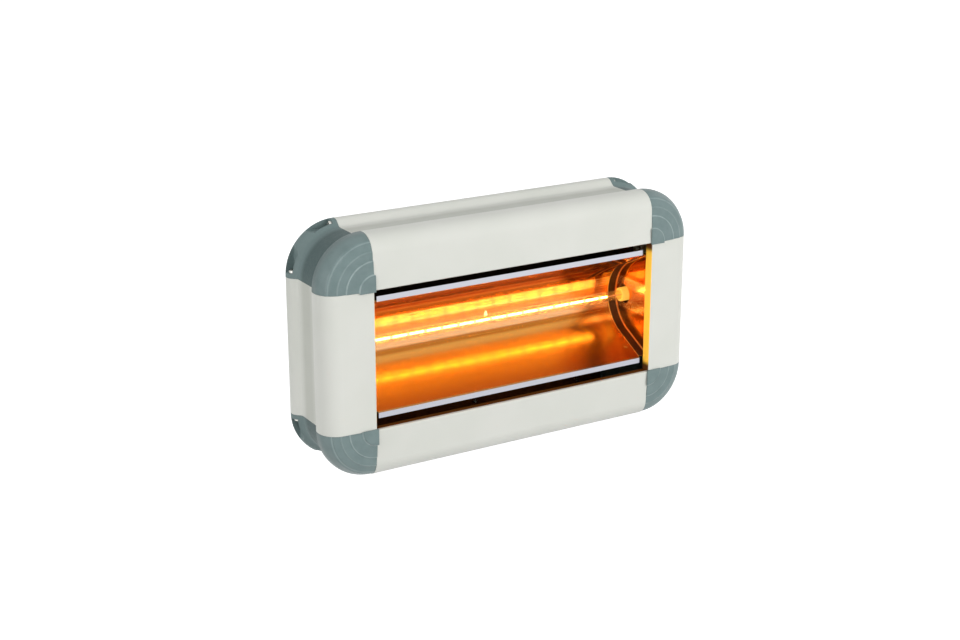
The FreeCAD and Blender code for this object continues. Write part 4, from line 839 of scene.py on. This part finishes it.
tail_length = lamp_high.x - HOT_HALF
tails = []
for side in (-1, 1):
    middle = lamp_axis + Vector((side * (HOT_HALF + tail_length / 2), 0, 0))
    tails.append(added(bpy.ops.mesh.primitive_cylinder_add, vertices=TAIL_SIDES, radius=TAIL_RADIUS,
                       depth=tail_length, location=middle, rotation=(0, QUARTER_TURN, 0)))
stand_for(joined("filament_coil", [coil, *tails]), "lamp_filament")

# %% [markdown]
# Wire supports keep the coil in the middle of the tube. Each is a ring that springs against the
# quartz, a small ring that holds the coil, and a bridge between them: two tori and a cylinder,
# which at this size look like bent wire.

# %% Filament supports
RING_SIDES, SUPPORT_SIDES = 28, 6

places = [sum(extent(group), Vector()) / 2 for group in solids("lamp_supports")]
low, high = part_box("lamp_supports")
outer = (high.z - low.z) / 2 - WIRE_RADIUS
inner = COIL_RADIUS + 2.5 * WIRE_RADIUS
parts = [added(bpy.ops.mesh.primitive_torus_add, major_segments=RING_SIDES,
               minor_segments=SUPPORT_SIDES, major_radius=radius, minor_radius=WIRE_RADIUS,
               rotation=(0, QUARTER_TURN, 0)) for radius in (outer, inner)]
parts.append(added(bpy.ops.mesh.primitive_cylinder_add, vertices=SUPPORT_SIDES, radius=WIRE_RADIUS,
                   depth=outer - inner, location=(0, 0, (outer + inner) / 2)))
support = joined("filament_support", parts)
supports = copies(support, [Matrix.Translation(place) for place in places])
stand_for(joined("filament_supports", supports), "lamp_supports")

# %% [markdown]
# The frame is held by pan-head screws. A screw starts as a flat cylinder, the head. Its lower
# face is inset and drawn out into the shank, and its upper rim is rounded. The cross could be
# modelled into the top face, but two bars that are cut out of it with a Boolean are simpler.

# %% One pan-head screw
HEAD_SIDES, RIM_SEGMENTS = 32, 4
FACES_UP = 0.9
RIM_ROUND, CROSS_LENGTH, CROSS_WIDTH = 0.55, 1.05, 0.26


def pan_screw(head_radius, head_height, shank_radius, shank_length):
    """A screw on the Z axis with its head above the XY plane and its shank below."""
    screw = added(bpy.ops.mesh.primitive_cylinder_add, vertices=HEAD_SIDES, radius=head_radius,
                  depth=head_height, location=(0, 0, head_height / 2))
    bpy.ops.object.transform_apply(location=True)
    edit(screw)
    pick_parts(screw, "faces", lambda face: face.normal.z < -FACES_UP)
    bpy.ops.mesh.inset(thickness=head_radius - shank_radius)
    bpy.ops.mesh.extrude_region_move(TRANSFORM_OT_translate={"value": (0, 0, -shank_length)})
    pick_parts(screw, "faces", lambda face: face.normal.z > FACES_UP)
    bpy.ops.mesh.bevel(offset=RIM_ROUND * head_height, segments=RIM_SEGMENTS, affect="EDGES")
    bpy.ops.object.mode_set(mode="OBJECT")
    long, wide = CROSS_LENGTH * head_radius, CROSS_WIDTH * head_radius
    for size in ((long, wide), (wide, long)):
        bar = added(bpy.ops.mesh.primitive_cube_add, size=1, scale=(*size, head_height),
                    location=(0, 0, head_height))
        bpy.ops.object.transform_apply(location=True, scale=True)
        modify(screw, "BOOLEAN", operation="DIFFERENCE", object=bar)
        bpy.data.objects.remove(bar)
    print("screw with", len(screw.data.polygons), "faces")
    return screw


# %% [markdown]
# One screw of each size is modelled and then copied. A CAD screw tells where a copy goes: it
# lies along its longest side, and its head is at the end that is wider.

# %% Pan-head screws
END_SLICE = 0.1 * MM
SMALL_SCREW = (3.8 * MM, 2.6 * MM, 2.0 * MM)
LARGE_SCREW = (4.6 * MM, 3.0 * MM, 2.5 * MM)


def screw_place(points, head_height):
    """Where the model screw goes to stand for one CAD screw."""
    low, high = extent(points)
    middle, size = (low + high) / 2, high - low
    along = max(range(3), key=lambda i: size[i])
    across = (along + 1) % 3

    def width(end):
        return max(abs(p[across] - middle[across]) for p in points
                   if abs(p[along] - end) < END_SLICE)

    sign = 1 if width(high[along]) > width(low[along]) else -1
    way = Vector([sign if i == along else 0 for i in range(3)])
    seat = middle + way * (size[along] / 2 - head_height)
    return Matrix.Translation(seat) @ way.to_track_quat("Z", "Y").to_matrix().to_4x4()


for node, measures in (
    ("corner_screws", SMALL_SCREW), ("rear_cover_screws", SMALL_SCREW),
    ("end_cap_screws", SMALL_SCREW), ("earth_screw", SMALL_SCREW),
    ("tilt_bracket_screws", LARGE_SCREW),
):
    groups = solids(node)
    low, high = extent(groups[0])
    head_height = measures[1]
    screw = pan_screw(*measures, shank_length=max(high - low) - head_height)
    placed = copies(screw, [screw_place(group, head_height) for group in groups])
    stand_for(joined("pan_head_" + node, placed), node)

# %% [markdown]
# The gland's cap is turned by hand, so it has ribs. They could be added as bars, but this way
# the cap is one closed skin: two rings of vertices are bridged to a flat washer, with every
# second pair of the outer ring's vertices drawn in, and the washer is drawn out to a cap.

# %% Ribbed gland cap
RIBS, RIB_POINTS = 16, 4
RIB_FOOT = 0.93
CAP_BORE = 6.1 * MM

cap_low, cap_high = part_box("gland_cap")
cap = added(bpy.ops.mesh.primitive_circle_add, vertices=RIBS * RIB_POINTS,
            radius=(cap_high.x - cap_low.x) / 2)
edit(cap)
bpy.ops.mesh.select_mode(type="VERT")
pick_parts(cap, "verts", lambda vertex: vertex.index % RIB_POINTS < RIB_POINTS / 2)
bpy.ops.transform.resize(value=(RIB_FOOT, RIB_FOOT, 1))
bpy.ops.mesh.select_all(action="DESELECT")
bpy.ops.mesh.primitive_circle_add(vertices=RIBS * RIB_POINTS, radius=CAP_BORE)
bpy.ops.mesh.select_all(action="SELECT")
bpy.ops.mesh.bridge_edge_loops()
bpy.ops.mesh.select_mode(type="FACE")
bpy.ops.mesh.select_all(action="SELECT")
cap_height = (0, 0, cap_high.y - cap_low.y)
bpy.ops.mesh.extrude_region_move(TRANSFORM_OT_translate={"value": cap_height})
bpy.ops.object.mode_set(mode="OBJECT")
cap.rotation_euler = (-QUARTER_TURN, 0, 0)
cap.location = ((cap_low.x + cap_high.x) / 2, cap_low.y, (cap_low.z + cap_high.z) / 2)
stand_for(joined("ribbed_gland_cap", [cap]), "gland_cap")

# %% [markdown]
# The studio is a pale floor well below the heater, which hangs on a wall in use. More light
# could make the background white, but it would bleach the heater. So the background is white for
# the camera, in mirrors and through glass, and dimmer as a light.

# %% Floor and background
WHITE = (1.0, 1.0, 1.0)
FLOOR_SIZE, FLOOR_SHIFT, FLOOR_DROP = 14, 2.0, 0.36
FLOOR_GREY, FLOOR_PALE = (0.52, 0.52, 0.52), (0.54, 0.54, 0.54)
FLOOR_WHITE = 0.88
AMBIENT = 0.26

floor = added(bpy.ops.mesh.primitive_plane_add, size=FLOOR_SIZE,
              location=(0, FLOOR_SHIFT, cad_box[0][2] - FLOOR_DROP))
floor.name = "studio_floor"
floor_finish = Finish("pale_floor")
floor.data.materials.append(floor_finish.surface(
    Base_Color=floor_finish.mix(floor_finish.noise(3.0, detail=2.0), FLOOR_GREY, FLOOR_PALE),
    Roughness=0.9,
    Emission_Color=floor_finish.mix(floor_finish.seen(), BLACK, WHITE),
    Emission_Strength=FLOOR_WHITE,
))

scene.world = bpy.data.worlds.new("studio_world")
sky = Tree(scene.world)
sky_level = sky.seen() * (1 - AMBIENT) + AMBIENT
sky.end("ShaderNodeOutputWorld", sky.node(
    "ShaderNodeBackground", {}, {"Color": opaque(WHITE), "Strength": sky_level}))
scene.view_settings.view_transform = "Standard"
print("floor at", round(floor.location.z, 3), "ambient", AMBIENT)

# %% [markdown]
# The light comes from large soft lamps, whose shadows have no hard edge: mostly from the front
# and right, less from the left, and weakly from above. The key lamp and the top lamp stay out of
# the mirrors, where they would show as bright squares. A small lamp high on the left draws the
# rings on the corners, and one behind the heater serves views of its back.

# %% Lamps
def soft_lamp(name, place, size, power, mirrored=True):
    """A square lamp that faces the middle of the heater."""
    bpy.ops.object.light_add(type="AREA", location=place)
    lamp = bpy.context.object
    lamp.name = name
    lamp.data.size = size
    lamp.data.energy = power
    lamp.visible_glossy = mirrored
    middle = (Vector(cad_box[0]) + Vector(cad_box[1])) / 2
    lamp.rotation_euler = (middle - Vector(place)).to_track_quat("-Z", "Y").to_euler()
    print(name, power, "W")


soft_lamp("key_lamp", (1.8, -3.0, 0.9), 2.0, 70, mirrored=False)
soft_lamp("fill_lamp", (-2.4, -0.9, 0.4), 1.6, 17)
soft_lamp("glint_lamp", (-1.5, -1.8, 2.1), 0.6, 6)
soft_lamp("top_lamp", (-1.4, -0.9, 2.4), 1.4, 11, mirrored=False)
soft_lamp("back_lamp", (0.9, 2.8, 0.6), 1.8, 24, mirrored=False)

# %% [markdown]
